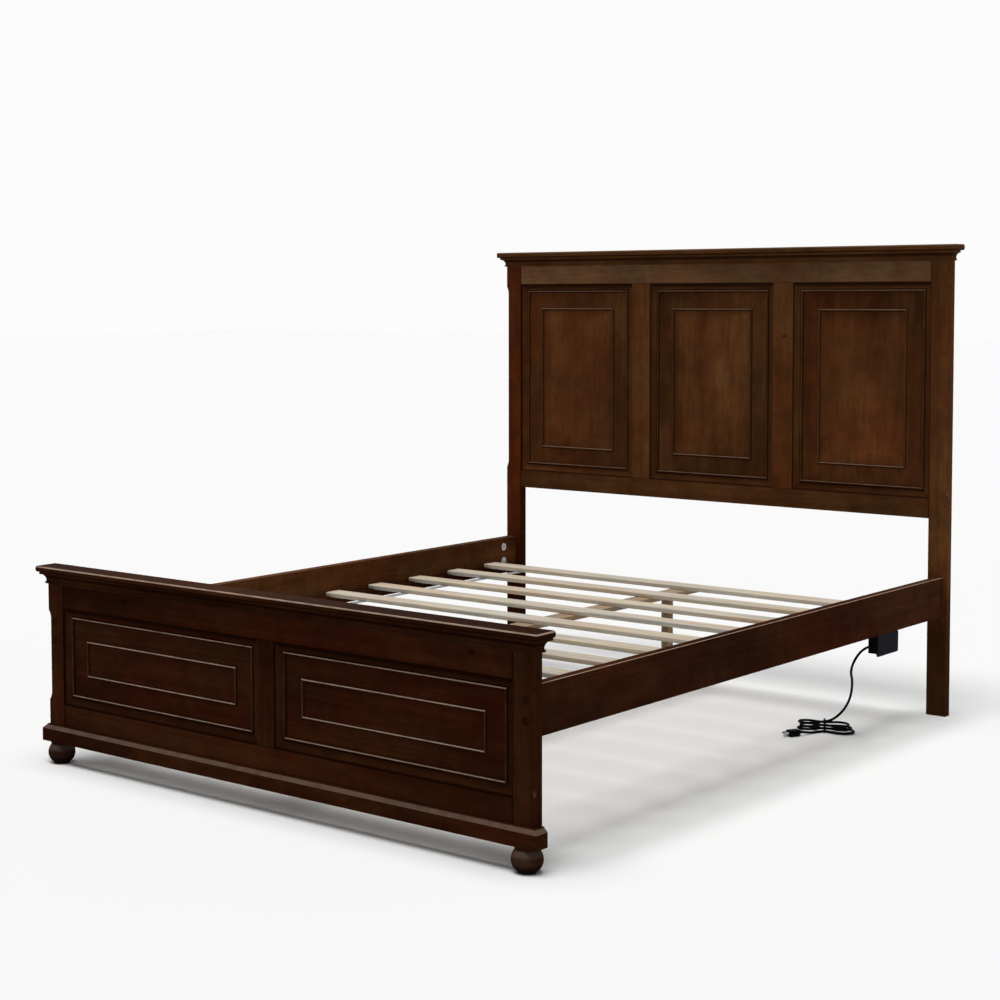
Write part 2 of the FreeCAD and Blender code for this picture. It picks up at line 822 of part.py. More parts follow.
def side_rail(name, side):
    """A board between footboard and headboard, bored for the bolts and the barrel nuts."""
    label = "side_rail_" + name
    body = new_body(label)
    length = D["clear_length"]
    board = pad(body, rectangle(sketch_on(body, "YZ_Plane", label + "_face"), 0, 0, length,
                                D["rail_tall"]), D["rail_thk"])
    round_edges(body, board, D["rail_round"],
                lambda edge: edge.BoundBox.YLength > 1.0 and edge.BoundBox.ZMin > 1.0)
    reach = D["nut_from_end"] + D["bolt_past_nut"] + 1
    for number, (start, way) in enumerate(((0, False), (-length, True))):
        bores = sketch_on(body, "XZ_Plane", "%s_bores%d" % (label, number), start)
        for level in (D["bolt_low"], D["bolt_high"]):
            circle(bores, D["rail_thk"] / 2, level, bolt_hole)
        pocket(body, bores, reach, reversed_way=way)
    inner_face = 0 if side > 0 else D["rail_thk"]
    nuts = sketch_on(body, "YZ_Plane", label + "_nut_holes", inner_face)
    for along in (D["nut_from_end"], length - D["nut_from_end"]):
        for level in (D["bolt_low"], D["bolt_high"]):
            circle(nuts, along, level, D["nut"] + 2 * D["plug_play"])
    pocket(body, nuts, D["nut_deep"] + 1, reversed_way=side > 0)
    pilots = sketch_on(body, "YZ_Plane", label + "_pilots", inner_face)
    for along in ledge_screw_places():
        circle(pilots, along, D["ledge"] / 2, screw_hole)
    pocket(body, pilots, D["ledge_screw_length"] - D["ledge"] + 1, reversed_way=side > 0)
    corner = rail_in if side > 0 else -rail_out
    put(body, corner, foot_back, D["rail_bottom"])
    return keep(label, body)


def ledge_screw_places():
    """Distances from the footboard to the ledge screws: midway between every fourth pair of
    slats."""
    middle = (D["slat_width"] + slat_step) / 2 - foot_back
    return [place + middle for place in slat_places()[:-1:4]]


def slat_places():
    return [slat_last + number * slat_step for number in range(int(D["slat_count"].value))]


def screwed_slats():
    """The first and the last slat are screwed down; the tapes hold the others."""
    places = slat_places()
    return [places[0], places[-1]]


def ledge(name, side):
    label = "slat_ledge_" + name
    body = new_body(label)
    length = D["clear_length"] - 2 * D["ledge_end_gap"]
    low = foot_back + D["ledge_end_gap"]
    pad(body, rectangle(sketch_on(body, "XZ_Plane", label + "_section"), 0, 0, D["ledge"],
                        D["ledge"]), length, reversed_way=True)
    screws = sketch_on(body, "YZ_Plane", label + "_screw_holes")
    for along in ledge_screw_places():
        circle(screws, along - D["ledge_end_gap"], D["ledge"] / 2, screw_hole)
    pocket(body, screws, None, both_ways=True)
    pilots = sketch_on(body, "XY_Plane", label + "_slat_pilots", D["ledge"])
    for place in screwed_slats():
        circle(pilots, D["ledge"] / 2, place + D["slat_width"] / 2 - low, screw_hole)
    pocket(body, pilots, D["slat_screw_length"] - D["slat_thk"] + 1)
    corner = rail_in - D["ledge"] if side > 0 else -rail_in
    put(body, corner, low, D["rail_bottom"])
    return keep(label, body)


def slat(label, place, screwed):
    body = new_body(label)
    length = 2 * (rail_in - D["slat_end_gap"])
    board = pad(body, rectangle(sketch_on(body, "YZ_Plane", label + "_section"), 0, 0,
                                D["slat_width"], D["slat_thk"]), length)
    round_edges(body, board, D["slat_round"],
                lambda edge: edge.BoundBox.XLength > 0.9 * float(length))
    if screwed:
        holes = sketch_on(body, "XY_Plane", label + "_screw_holes")
        sunk = sketch_on(body, "XY_Plane", label + "_head_sinks", D["slat_thk"])
        near = D["ledge"] / 2 - D["slat_end_gap"]
        for along in (near, length - near):
            circle(holes, along, D["slat_width"] / 2, screw_hole)
            circle(sunk, along, D["slat_width"] / 2, D["screw_head"] + 2 * D["screw_play"])
        pocket(body, holes, None, both_ways=True)
        pocket(body, sunk, D["screw_head_thk"])
    put(body, -(rail_in - D["slat_end_gap"]), place, slat_bottom)
    return keep(label, body)


def slat_tapes():
    """Two flat tapes under the slats, which keep them apart."""
    tapes = []
    start = slat_last - D["tape_past"]
    length = slat_first + D["slat_width"] + D["tape_past"] - start
    half = rail_in - D["slat_end_gap"] - D["tape_from_end"]
    for name, left in (("left", -half), ("right", half - D["tape_width"])):
        tape = doc.addObject("Part::Box", "slat_tape_" + name)
        for side, size in (("Length", D["tape_width"]), ("Width", length),
                           ("Height", D["tape_thk"])):
            setattr(tape, side, float(size))
            tape.setExpression(side, size.formula)
        put(tape, left, start, slat_bottom - D["tape_thk"])
        tapes.append(tape)
    keep_group("slat_tapes", tapes)


def centre_support():
    """The flat rail under the slats and its three legs, each held by one screw from above."""
    label = "centre_support_rail"
    body = new_body(label)
    start = foot_back + D["slat_foot_gap"] - D["centre_rail_past"]
    end = head_front - D["slat_head_gap"] + D["centre_rail_past"]
    low = slat_bottom - D["centre_rail_thk"]
    pad(body, rectangle(sketch_on(body, "XZ_Plane", label + "_section"), 0, 0,
                        D["centre_rail_width"], D["centre_rail_thk"]), end - start,
        reversed_way=True)
    holes = sketch_on(body, "XY_Plane", label + "_leg_holes")
    sunk = sketch_on(body, "XY_Plane", label + "_head_sinks", D["centre_rail_thk"])
    for place in leg_places():
        circle(holes, D["centre_rail_width"] / 2, place - start, screw_hole)
        circle(sunk, D["centre_rail_width"] / 2, place - start,
               D["screw_head"] + 2 * D["screw_play"])
    pocket(body, holes, None, both_ways=True)
    pocket(body, sunk, D["screw_head_thk"])
    put(body, -(D["centre_rail_width"] / 2), start, low)
    keep(label, body)
    legs = []
    for name, place in zip(("foot", "middle", "head"), leg_places()):
        leg = new_body("centre_leg_" + name)
        pad(leg, rectangle(sketch_on(leg, "XY_Plane", leg.Label + "_section"), 0, 0,
                           D["leg_side"], D["leg_side"]), low)
        pilot = circle(sketch_on(leg, "XY_Plane", leg.Label + "_pilot", low),
                       D["leg_side"] / 2, D["leg_side"] / 2, screw_hole)
        pocket(leg, pilot, D["leg_screw_length"] - D["centre_rail_thk"] + 1)
        put(leg, -(D["leg_side"] / 2), place - D["leg_side"] / 2, 0)
        legs.append(leg)
    keep_group("centre_support_legs", legs)


def leg_places():
    near = foot_back + D["leg_end_gap"]
    far = head_front - D["leg_end_gap"]
    return [near, (near + far) / 2, far]


# ---------------------------------------------------------------- fasteners

def cylinder(label, diameter, tall):
    body = doc.addObject("Part::Cylinder", label)
    body.Radius = float(diameter) / 2
    body.setExpression("Radius", (as_size(diameter) / 2).formula)
    body.Height = float(tall)
    body.setExpression("Height", as_size(tall).formula)
    return body


def headed(label, shank, length, head, head_thk):
    """A screw or bolt that points down -Z, with the top of its head at the origin."""
    stem = cylinder(label + "_stem", shank, length)
    put(stem, 0, 0, -as_size(length))
    top = cylinder(label + "_head", head, head_thk)
    put(top, 0, 0, -as_size(head_thk))
    joined = doc.addObject("Part::Fuse", label)
    joined.Base = stem
    joined.Tool = top
    return joined


def slat_screws():
    screws = []
    for number, place in enumerate(screwed_slats()):
        for side in (-1, 1):
            screw = headed("slat_screw%d%s" % (number, "ab"[side > 0]), D["screw"],
                           D["slat_screw_length"], D["screw_head"], D["screw_head_thk"])
            put(screw, side * (rail_in - D["ledge"] / 2), place + D["slat_width"] / 2,
                slat_bottom + D["slat_thk"])
            screws.append(screw)
    keep_group("slat_screws", screws)


def wood_screws():
    """Ledge screws through the ledges into the rails, and the screws of the centre legs."""
    screws = []
    for side, name in ((-1, "left"), (1, "right")):
        for number, along in enumerate(ledge_screw_places()):
            screw = headed("ledge_screw_%s%d" % (name, number), D["screw"],
                           D["ledge_screw_length"], D["screw_head"], D["screw_head_thk"])
            reach = rail_in - D["ledge"] - D["screw_head_thk"]
            put(screw, side * reach, foot_back + along, D["rail_bottom"] + D["ledge"] / 2,
                (0, 1, 0), -90.0 * side)
            screws.append(screw)
    for number, place in enumerate(leg_places()):
        screw = headed("leg_screw%d" % number, D["screw"], D["leg_screw_length"],
                       D["screw_head"], D["screw_head_thk"])
        put(screw, 0, place, slat_bottom)
        screws.append(screw)
    keep_group("wood_screws", screws)


def bed_joint_hardware():
    """At each end of each rail two bolts go through the post into barrel nuts in the rail."""
    bolts, washers, nuts, plugs = [], [], [], []
    length = (D["frame_thk"] - D["head_sink_deep"] + D["washer_thk"] + D["bolt_head_thk"]
              + D["nut_from_end"] + D["bolt_past_nut"])
    for side, name in ((-1, "left"), (1, "right")):
        for end in ("foot", "head"):
            for row, level in enumerate(bolt_levels):
                tag = "%s_%s%d" % (name, end, row)
                x = side * rail_mid
                at_foot = end == "foot"
                seat = (foot_front + D["head_sink_deep"] if at_foot
                        else head_back - D["head_sink_deep"])
                out = -1 if at_foot else 1
                turn = 90.0 if at_foot else -90.0
                bolt = headed("bolt_" + tag, D["bolt"], length, D["bolt_head"],
                              D["bolt_head_thk"])
                put(bolt, x, seat + out * (D["washer_thk"] + D["bolt_head_thk"]), level,
                    (1, 0, 0), turn)
                bolts.append(bolt)
                washers.append(washer("washer_" + tag, x, seat, level, turn))
                nut_y = (foot_back + D["nut_from_end"] if at_foot
                         else head_front - D["nut_from_end"])
                nuts.append(barrel_nut("nut_" + tag, side, nut_y, level))
                if at_foot:
                    plug_thk = (D["head_sink_deep"] - D["washer_thk"] - D["bolt_head_thk"]
                                - D["plug_play"])
                    plug = cylinder("plug_" + tag, D["head_sink"] - 2 * D["plug_play"],
                                    plug_thk)
                    put(plug, x, foot_front + plug_thk, level, (1, 0, 0), 90.0)
                    plugs.append(plug)
    keep_group("bed_bolts", bolts)
    keep_group("bed_bolt_washers", washers)
    keep_group("barrel_nuts", nuts)
    keep_group("bolt_hole_plugs", plugs)


def washer(label, x, seat, level, turn):
    disc = cylinder(label + "_disc", D["washer"], D["washer_thk"])
    hole = cylinder(label + "_hole", bolt_hole, D["washer_thk"] + 2)
    put(hole, 0, 0, -1)
    ring = doc.addObject("Part::Cut", label)
    ring.Base = disc
    ring.Tool = hole
    put(ring, x, seat, level, (1, 0, 0), turn)
    return ring


def barrel_nut(label, side, y, level):
    """A cross dowel with a wide flange on the rail's inner face and a drive hole in it."""
    stem = cylinder(label + "_stem", D["nut"], D["nut_deep"])
    flange = cylinder(label + "_flange", D["nut_flange"], D["nut_flange_thk"])
    put(flange, 0, 0, -D["nut_flange_thk"])
    whole = doc.addObject("Part::Fuse", label + "_whole")
    whole.Base = stem
    whole.Tool = flange
    drive = cylinder(label + "_drive", D["nut_drive"], D["nut_flange_thk"] + 2)
    put(drive, 0, 0, -D["nut_flange_thk"] - 1)
    bore = cylinder(label + "_bore", D["bolt"] + 0.1, 2 * D["nut"])
    put(bore, 0, D["nut"], D["rail_thk"] / 2, (1, 0, 0), 90.0)
    holes = doc.addObject("Part::Fuse", label + "_holes")
    holes.Base = drive
    holes.Tool = bore
    nut = doc.addObject("Part::Cut", label)
    nut.Base = whole
    nut.Tool = holes
    put(nut, side * rail_in, y, level, (0, 1, 0), 90.0 * side)
    return nut


def foot_bolts():
    bolts = []
    for name, side in (("left", -1), ("right", 1)):
        bolt = cylinder("foot_bolt_" + name, D["foot_bolt"], D["foot_bolt_length"])
        put(bolt, side * (post_out - D["post_width"] / 2), foot_front + D["frame_thk"] / 2,
            D["foot_frame_bottom"] - foot_bolt_in_foot)
        bolts.append(bolt)
    keep_group("foot_hanger_bolts", bolts)


# ---------------------------------------------------------------- power box

def power_box():
    """A box screwed up under the right rail: a body, and a larger plate on its outer face."""
    outer = rail_out - D["box_proud"]
    label = "power_box_body"
    body = new_body(label)
    block = pad(body, rectangle(sketch_on(body, "YZ_Plane", label + "_face"), 0, 0,
                                D["box_length"], D["box_tall"]), D["box_thk"])
    round_edges(body, block, D["box_round"], on_lower_ends)
    low = D["rail_bottom"] - D["box_tall"]
    put(body, outer - D["box_thk"], D["box_y"] - D["box_length"] / 2, low)
    keep(label, body)
    label = "power_box_plate"
    plate = new_body(label)
    block = pad(plate, rectangle(sketch_on(plate, "YZ_Plane", label + "_face"), 0, 0,
                                 D["plate_length"], D["plate_tall"]), D["plate_thk"])
    corners = round_edges(plate, block, D["plate_round"], on_ends)
    round_edges(plate, corners, D["plate_edge"],
                lambda edge: edge.BoundBox.XMin > D["plate_thk"].value - 0.01)
    put(plate, outer, D["box_y"] - D["plate_length"] / 2, D["rail_bottom"] - D["plate_tall"])
    keep(label, plate)


def on_ends(edge):
    """The corners of a block that lie along its thickness."""
    box = edge.BoundBox
    return box.YLength < 0.01 and box.ZLength < 0.01


def on_lower_ends(edge):
    return on_ends(edge) and edge.BoundBox.ZMin < 0.01


def strain_relief():
    """A tapered sleeve on the box's foot side, with two ring grooves."""
    label = "cord_strain_relief"
    body = new_body(label)
    length = D["relief_length"].value
    base = D["relief_base"].value / 2
    tip = D["relief_tip"].value / 2
    steps = [(0, 0), (base, 0)]
    ring = 1.6
    for number in range(2):
        along = length * (0.3 + 0.25 * number)
        here = base + (tip - base) * along / length
        steps += [(here, along), (here - 1.0, along), (here - 1.0, along + ring),
                  (here - 0.1, along + ring)]
    steps += [(tip, length), (0, length)]
    sketch = profile(sketch_on(body, "XZ_Plane", label + "_turning"), steps)
    turned = body.newObject("PartDesign::Revolution", label + "_turned")
    turned.Profile = sketch
    turned.ReferenceAxis = (sketch, ["V_Axis"])
    turned.Angle = 360.0
    sketch.Visibility = False
    put(body, CORD_EXIT[0], CORD_EXIT[1] + D["relief_length"], CORD_EXIT[2], (1, 0, 0), 90.0)
    return keep(label, body)


# ---------------------------------------------------------------- cord, hank and plug

# where the cord leaves its sleeve: the sleeve's base stands on the box's foot side
box_outer = rail_out - D["box_proud"]
CORD_EXIT = (
    box_outer - D["box_thk"] / 2 + D["exit_out"],
    D["box_y"] - D["box_length"] / 2 - D["relief_length"],
    D["rail_bottom"] - D["box_tall"] / 2 - D["exit_drop"],
)

# the free stretch, from the sleeve's tip down to the top of the hank
CORD_ROUTE = [
    (785.0, 595.0, 270.0),
    (785.0, 566.0, 270.0),
    (780.0, 536.0, 256.0),
    (771.0, 520.0, 229.0),
    (761.0, 530.0, 202.0),
    (743.0, 575.0, 176.0),
    (723.0, 613.0, 138.0),
    (703.0, 641.0, 104.0),
    (688.0, 642.0, 74.0),
    (669.0, 636.0, 50.0),
]
CORD_SIDES = 8
HANK_CENTRE = (635.0, 619.0)
HANK_TURN = 26.0
HANK_TURNS = 3
HANK_PITCH = 9.2
HANK_FLOOR = 3.65
HANK_WAIST = 5.0
HANK_LOBES = [(80.0, 27.0), (73.0, 23.0), (66.0, 26.0), (70.0, 24.0)]
HANK_WAIST_LIFT = 1.4


def hank_keys():
    """Key points of the hank's turns, each with its heading, in the hank's own frame: X along
    it, Y across it. Each turn goes out round one lobe, back through the waist, round the
    other lobe and back, and climbs by one pitch."""
    keys = []
    for turn in range(HANK_TURNS):
        out_long, out_wide = HANK_LOBES[turn]
        back_long, back_wide = HANK_LOBES[(turn + 1) % len(HANK_LOBES)]
        rise = HANK_PITCH / 8
        base = HANK_FLOOR + HANK_PITCH * turn
        lift = HANK_WAIST_LIFT
        keys += [
            ((0.0, -HANK_WAIST, base + lift), (1, 0, 0)),
            ((0.6 * out_long, -out_wide, base + rise), (1, 0, 0)),
            ((out_long, 0.0, base + 2 * rise), (0, 1, 0)),
            ((0.6 * out_long, out_wide, base + 3 * rise), (-1, 0, 0)),
            ((0.0, HANK_WAIST, base + 4 * rise + lift), (-1, 0, 0)),
            ((-0.6 * back_long, back_wide, base + 5 * rise), (-1, 0, 0)),
            ((-back_long, 0.0, base + 6 * rise), (0, -1, 0)),
            ((-0.6 * back_long, -back_wide, base + 7 * rise), (1, 0, 0)),
        ]
    return keys


PLUG_END = (-62.0, -56.0, 10.0)
PLUG_HEADING = (0.81, 0.59, 0.0)


def hank_in_room(place):
    """From the hank's own frame to the bed's."""
    angle = math.radians(HANK_TURN)
    x, y, z = place
    return V(HANK_CENTRE[0] + x * math.cos(angle) - y * math.sin(angle),
             HANK_CENTRE[1] + x * math.sin(angle) + y * math.cos(angle), z)


def heading_in_room(heading):
    angle = math.radians(HANK_TURN)
    x, y, z = heading
    turned = V(x * math.cos(angle) - y * math.sin(angle),
               x * math.sin(angle) + y * math.cos(angle), z)
    return turned.normalize()


def single_arc(start, heading, end):
    """The edge that leaves start along heading and ends at end: an arc, or a line."""
    chord = end - start
    along = chord.dot(heading)
    side = chord - heading * along
    if side.Length < 1e-4 * chord.Length:
        return Part.makeLine(start, end)
    normal = side.normalize()
    radius = chord.dot(chord) / (2 * chord.dot(normal))
    centre = start + normal * radius
    middle = (start + end) * 0.5 - centre
    if along < 0:
        middle = -middle
    return Part.Arc(start, centre + middle.normalize() * radius, end).toShape()


def biarc(start, heading_a, end, heading_b):
    """Two tangent arcs from start to end with the given headings."""
    chord = end - start
    both = heading_a + heading_b
    spread = 2 * (1 - heading_a.dot(heading_b))
    reach = chord.dot(both)
    if spread < 1e-9:
        step = chord.dot(chord) / (2 * reach)
    else:
        step = (-reach + math.sqrt(reach * reach + spread * chord.dot(chord))) / spread
    joint = (start + end + (heading_a - heading_b) * step) * 0.5
    # the second arc is drawn backwards from its end, then turned round
    second = single_arc(end, heading_b * -1.0, joint)
    return [single_arc(start, heading_a, joint), second]


def tube(edges, diameter):
    """A tube of CORD_SIDES sides along tangent edges."""
    wire = Part.Wire(Part.__sortEdges__(edges))
    first = wire.OrderedEdges[0]
    start = wire.OrderedVertexes[0].Point
    near = first.valueAt(first.FirstParameter)
    way = first.tangentAt(first.FirstParameter)
    if (near - start).Length > 1e-6:
        way = first.tangentAt(first.LastParameter) * -1.0
    side_way = way.cross(V(0, 0, 1)).normalize() * (float(diameter) / 2)
    up_way = way.cross(side_way)
    corners = []
    for number in range(CORD_SIDES + 1):
        angle = 2 * math.pi * (number % CORD_SIDES + 0.5) / CORD_SIDES
        corners.append(start + side_way * math.cos(angle) + up_way * math.sin(angle))
    ring = Part.makePolygon(corners)
    shell = Part.BRepOffsetAPI.MakePipeShell(wire)
    shell.add(ring)
    shell.build()
    shell.makeSolid()
    return shell.shape(), wire


def rounded_route(points, label):
    """Straight runs joined by tangent arcs of 0.45 of the shorter run."""
    places = [V(*point) for point in points]
    edges = []
    start = places[0]
    radii = []
    for before, corner, after in zip(places, places[1:], places[2:]):
        run_in = corner - before
        run_out = after - corner
        cut = 0.45 * min(run_in.Length, run_out.Length)
        way_in = V(run_in).normalize()
        way_out = V(run_out).normalize()
        turn = math.acos(max(-1.0, min(1.0, way_in.dot(way_out))))
        radii.append(cut / math.tan(turn / 2))
        arc_start = corner - way_in * cut
        arc_end = corner + way_out * cut
        edges.append(Part.makeLine(start, arc_start))
        edges.append(single_arc(arc_start, way_in, arc_end))
        start = arc_end
    edges.append(Part.makeLine(start, places[-1]))
    print(label, "bend radii", " ".join("%.0f" % radius for radius in radii))
    return edges


def hank_path():
    """From the plug, round the turns, to the top where the free stretch comes down."""
    keys = [(hank_in_room(PLUG_END), heading_in_room(PLUG_HEADING)),
            (hank_in_room((-34.0, -27.0, HANK_FLOOR)), heading_in_room((0.86, 0.5, 0.0)))]
    keys += [(hank_in_room(place), heading_in_room(way)) for place, way in hank_keys()]
    top = HANK_FLOOR + HANK_PITCH * HANK_TURNS + HANK_WAIST_LIFT
    keys.append((hank_in_room((0.0, -HANK_WAIST, top)), heading_in_room((1, 0, 0))))
    last = V(*CORD_ROUTE[-1])
    rise = (V(*CORD_ROUTE[-2]) - last).normalize()
    keys.append((last, rise))
    edges = []
    for (start, way_a), (end, way_b) in zip(keys, keys[1:]):
        edges += biarc(start, way_a, end, way_b)
    return edges


def least_self_gap(wire, diameter):
    """Smallest clearance of the tube to itself, on points 2 mm apart, leaving out what lies
    within a short stretch along the cord."""
    count = int(wire.Length / 2.0)
    points = wire.discretize(count)
    skip = 14
    least = 1e9
    for index, point in enumerate(points):
        for number in range(index + skip, len(points)):
            apart = (point - points[number]).Length
            if apart < least:
                least = apart
    return least - float(diameter)


def free_form(label, shape):
    feature = doc.addObject("Part::Feature", label)
    feature.Label = label
    feature.Shape = shape
    return keep(label, feature)


def cord_and_hank():
    width = D["cord"]
    exit_point = tuple(float(size) for size in CORD_EXIT)
    route = [exit_point] + CORD_ROUTE[1:]
    shape, wire = tube(rounded_route(route, "power_cord"), width)
    section = CORD_SIDES / 2 * math.sin(2 * math.pi / CORD_SIDES) * (width.value / 2) ** 2
    print("power_cord volume ratio %.4f length %.0f" % (
        shape.Volume / (section * wire.Length), wire.Length))
    free_form("power_cord", shape)
    shape, wire = tube(hank_path(), width)
    print("power_cord_hank volume ratio %.4f length %.0f" % (
        shape.Volume / (section * wire.Length), wire.Length))
    print("power_cord_hank least gap to itself %.2f" % least_self_gap(wire, width))
    free_form("power_cord_hank", shape)


def hank_tie():
    """A twist tie round the waist of the hank."""
    label = "cord_hank_tie"
    wall = 1.2
    inside_wide = 2 * HANK_WAIST + D["cord"].value + 0.6
    tall = HANK_FLOOR + HANK_WAIST_LIFT + HANK_PITCH * HANK_TURNS + D["cord"].value / 2
    low = 0.1
    outer = Part.makeBox(5.0, inside_wide + 2 * wall, tall + 2 * wall + 0.3 - low,
                         V(-2.5, -inside_wide / 2 - wall, low))
    inner = Part.makeBox(7.0, inside_wide, tall + 0.3 - low, V(-3.5, -inside_wide / 2, low + wall))
    outer = outer.makeFillet(2.0, [edge for edge in outer.Edges
                                   if edge.BoundBox.XLength > 4.0])
    band = outer.cut(inner)
    feature = free_form(label, band)
    feature.Placement = FreeCAD.Placement(V(HANK_CENTRE[0], HANK_CENTRE[1], 0),
                                          FreeCAD.Rotation(V(0, 0, 1), HANK_TURN))


def plug():
    """A moulded three-pin plug that lies on the floor, its neck towards the hank."""
    label = "plug_body"
    length = D["plug_length"].value
    wide = D["plug_wide"].value
    tall = D["plug_tall"].value
    neck = D["plug_neck"].value / 2
    neck_long = D["plug_neck_length"].value
    middle = PLUG_END[2]
    block = Part.makeBox(length, wide, tall, V(-length - neck_long, -wide / 2, -tall / 2))
    block = block.makeFillet(4.0, [edge for edge in block.Edges
                                   if edge.BoundBox.XLength > length - 1])
    sleeve = Part.makeCone(neck, neck - 1.5, neck_long + 3.0, V(-neck_long - 3.0, 0, 0),
                           V(1, 0, 0))
    whole = block.fuse(sleeve).removeSplitter()
    heading = heading_in_room(PLUG_HEADING)
    angle = math.degrees(math.atan2(heading.y, heading.x))
    back = hank_in_room(PLUG_END)
    place = FreeCAD.Placement(V(back.x, back.y, middle), FreeCAD.Rotation(V(0, 0, 1), angle))
    free_form(label, whole).Placement = place
    pins = []
    front = -length - neck_long - D["blade_length"].value
    reach = D["blade_length"].value
    for side in (-1, 1):
        pins.append(Part.makeBox(
            reach, D["blade_thk"].value, D["blade_tall"].value,
            V(front, side * D["blade_spacing"].value / 2 - D["blade_thk"].value / 2, -1.0)))
    pins.append(Part.makeCylinder(D["earth_pin"].value / 2, reach,
                                  V(front, 0, -D["earth_drop"].value), V(1, 0, 0)))
    free_form("plug_pins", Part.makeCompound(pins)).Placement = place


# ---------------------------------------------------------------- build, check and write

def build():
    headboard()
    footboard()
    for name, side in (("left", -1), ("right", 1)):
        side_rail(name, side)
        ledge(name, side)
    places = slat_places()
    for number, place in enumerate(places, start=1):
        slat("slat_%02d" % number, place, number in (1, len(places)))
    slat_tapes()
    centre_support()
    slat_screws()
    wood_screws()
    bed_joint_hardware()
    foot_bolts()
    power_box()
    strain_relief()
    cord_and_hank()
    hank_tie()
    plug()
    doc.recompute()


def check():
    for thing in doc.Objects:
        for state in thing.State:
            if state in ("Invalid", "Error"):
                raise RuntimeError("%s is %s" % (thing.Label, state))
    for label, thing in NODES.items():
        shape = thing.Shape
        if shape.isNull() or not shape.isValid() or not shape.Solids:
            raise RuntimeError("%s has no sound solid" % label)


def write():
    os.makedirs("parts", exist_ok=True)
    for label, thing in NODES.items():
        thing.Shape.exportStep("parts/%s.step" % label)
    print(len(NODES), "nodes,", sum(len(thing.Shape.Solids) for thing in NODES.values()),
          "solids")


build()
check()
write()
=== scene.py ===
"""Looks of the panel bed: stained wood, pine slats, metal fittings, power box and its lead."""
import math

import bpy
from mathutils import Matrix, Vector


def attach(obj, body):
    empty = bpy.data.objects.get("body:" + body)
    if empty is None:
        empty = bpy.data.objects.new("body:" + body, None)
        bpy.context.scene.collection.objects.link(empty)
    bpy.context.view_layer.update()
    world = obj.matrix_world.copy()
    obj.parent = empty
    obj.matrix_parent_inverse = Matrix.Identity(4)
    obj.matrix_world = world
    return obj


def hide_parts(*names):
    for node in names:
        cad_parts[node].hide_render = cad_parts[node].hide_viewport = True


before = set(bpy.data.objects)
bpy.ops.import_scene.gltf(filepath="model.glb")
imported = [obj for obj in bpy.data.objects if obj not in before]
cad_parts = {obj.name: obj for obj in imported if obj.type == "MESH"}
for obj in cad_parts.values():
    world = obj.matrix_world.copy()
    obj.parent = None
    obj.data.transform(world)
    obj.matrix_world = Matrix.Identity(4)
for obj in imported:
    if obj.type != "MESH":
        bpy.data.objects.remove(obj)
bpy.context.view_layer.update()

# ---------------------------------------------------------------- camera

CAMERA_PLACE = (3.29765, -4.43788, 1.28051)
CAMERA_RIGHT = (0.75555111, 0.65507096, -0.00495493)
CAMERA_UP = (-0.03692253, 0.05013529, 0.99805971)
CAMERA_FORWARD = (-0.65404835, 0.75390218, -0.06206665)
CAMERA_SENSOR = 36.0
CAMERA_LENS = 70.358
CAMERA_SHIFT = (0.12908, -0.08906)
CAMERA_REACH = 200.0


def make_camera():
    camera = bpy.data.objects.new("camera", bpy.data.cameras.new("camera"))
    bpy.context.scene.collection.objects.link(camera)
    back = [-value for value in CAMERA_FORWARD]
    turn = Matrix((CAMERA_RIGHT, CAMERA_UP, back)).transposed().to_4x4()
    camera.matrix_world = Matrix.Translation(CAMERA_PLACE) @ turn
    camera.data.sensor_width = CAMERA_SENSOR
    camera.data.lens = CAMERA_LENS
    camera.data.shift_x, camera.data.shift_y = CAMERA_SHIFT
    camera.data.clip_end = CAMERA_REACH
    bpy.context.scene.camera = camera


# ---------------------------------------------------------------- sizes shared with the frame

HEAD_FRONT = 1.0285
FOOT_FRONT = -1.0375
HEAD_OPENING = (0.651, 1.295)
FOOT_OPENING = (0.164, 0.426)
POST_INNER = 0.754
HEAD_MULLION = 0.069
FOOT_MULLION = 0.058
SLAT_COUNT = 10

# ---------------------------------------------------------------- cord

CORD_WIDTH = 0.0070
CORD_EXIT = (0.785, 0.595, 0.270)
CORD_DROP = [
    CORD_EXIT,
    (0.785, 0.566, 0.270),
    (0.780, 0.536, 0.256),
    (0.771, 0.520, 0.229),
    (0.761, 0.530, 0.202),
    (0.743, 0.575, 0.176),
    (0.723, 0.613, 0.138),
    (0.703, 0.641, 0.104),
    (0.688, 0.642, 0.074),
    (0.669, 0.636, 0.050),
]
HANK_CENTRE = (0.635, 0.619)
HANK_TURN = math.radians(26.0)
HANK_TURNS = 3
HANK_PITCH = 0.0092
HANK_FLOOR = 0.0037
HANK_WAIST = 0.0050
# the turns cross at the waist, so each is lifted there, over this half length
HANK_LIFT = 0.0014
HANK_CROSSING = 0.03
# in the hank's own frame, with X along it: the lead from the plug to the waist, each lobe's
# length and half width, a lobe's outline in parts of those, and the end toward the box
PLUG_LEAD = [(-0.062, -0.056, 0.010), (-0.050, -0.046, 0.0075),
             (-0.034, -0.029, HANK_FLOOR), (-0.018, -0.014, HANK_FLOOR)]
HANK_LOBES = [(0.080, 0.027), (0.073, 0.023), (0.066, 0.026), (0.070, 0.024)]
LOBE_OUTLINE = [(0.30, 0.66), (0.62, 1.06), (0.93, 0.80)]
LOBE_TIP = 1.05
HANK_END = (0.018, -0.004, 0.0365)


def in_room(place):
    """From the hank's own frame, with X along it, to the bed's."""
    x, y, z = place
    return (HANK_CENTRE[0] + x * math.cos(HANK_TURN) - y * math.sin(HANK_TURN),
            HANK_CENTRE[1] + x * math.sin(HANK_TURN) + y * math.cos(HANK_TURN), z)


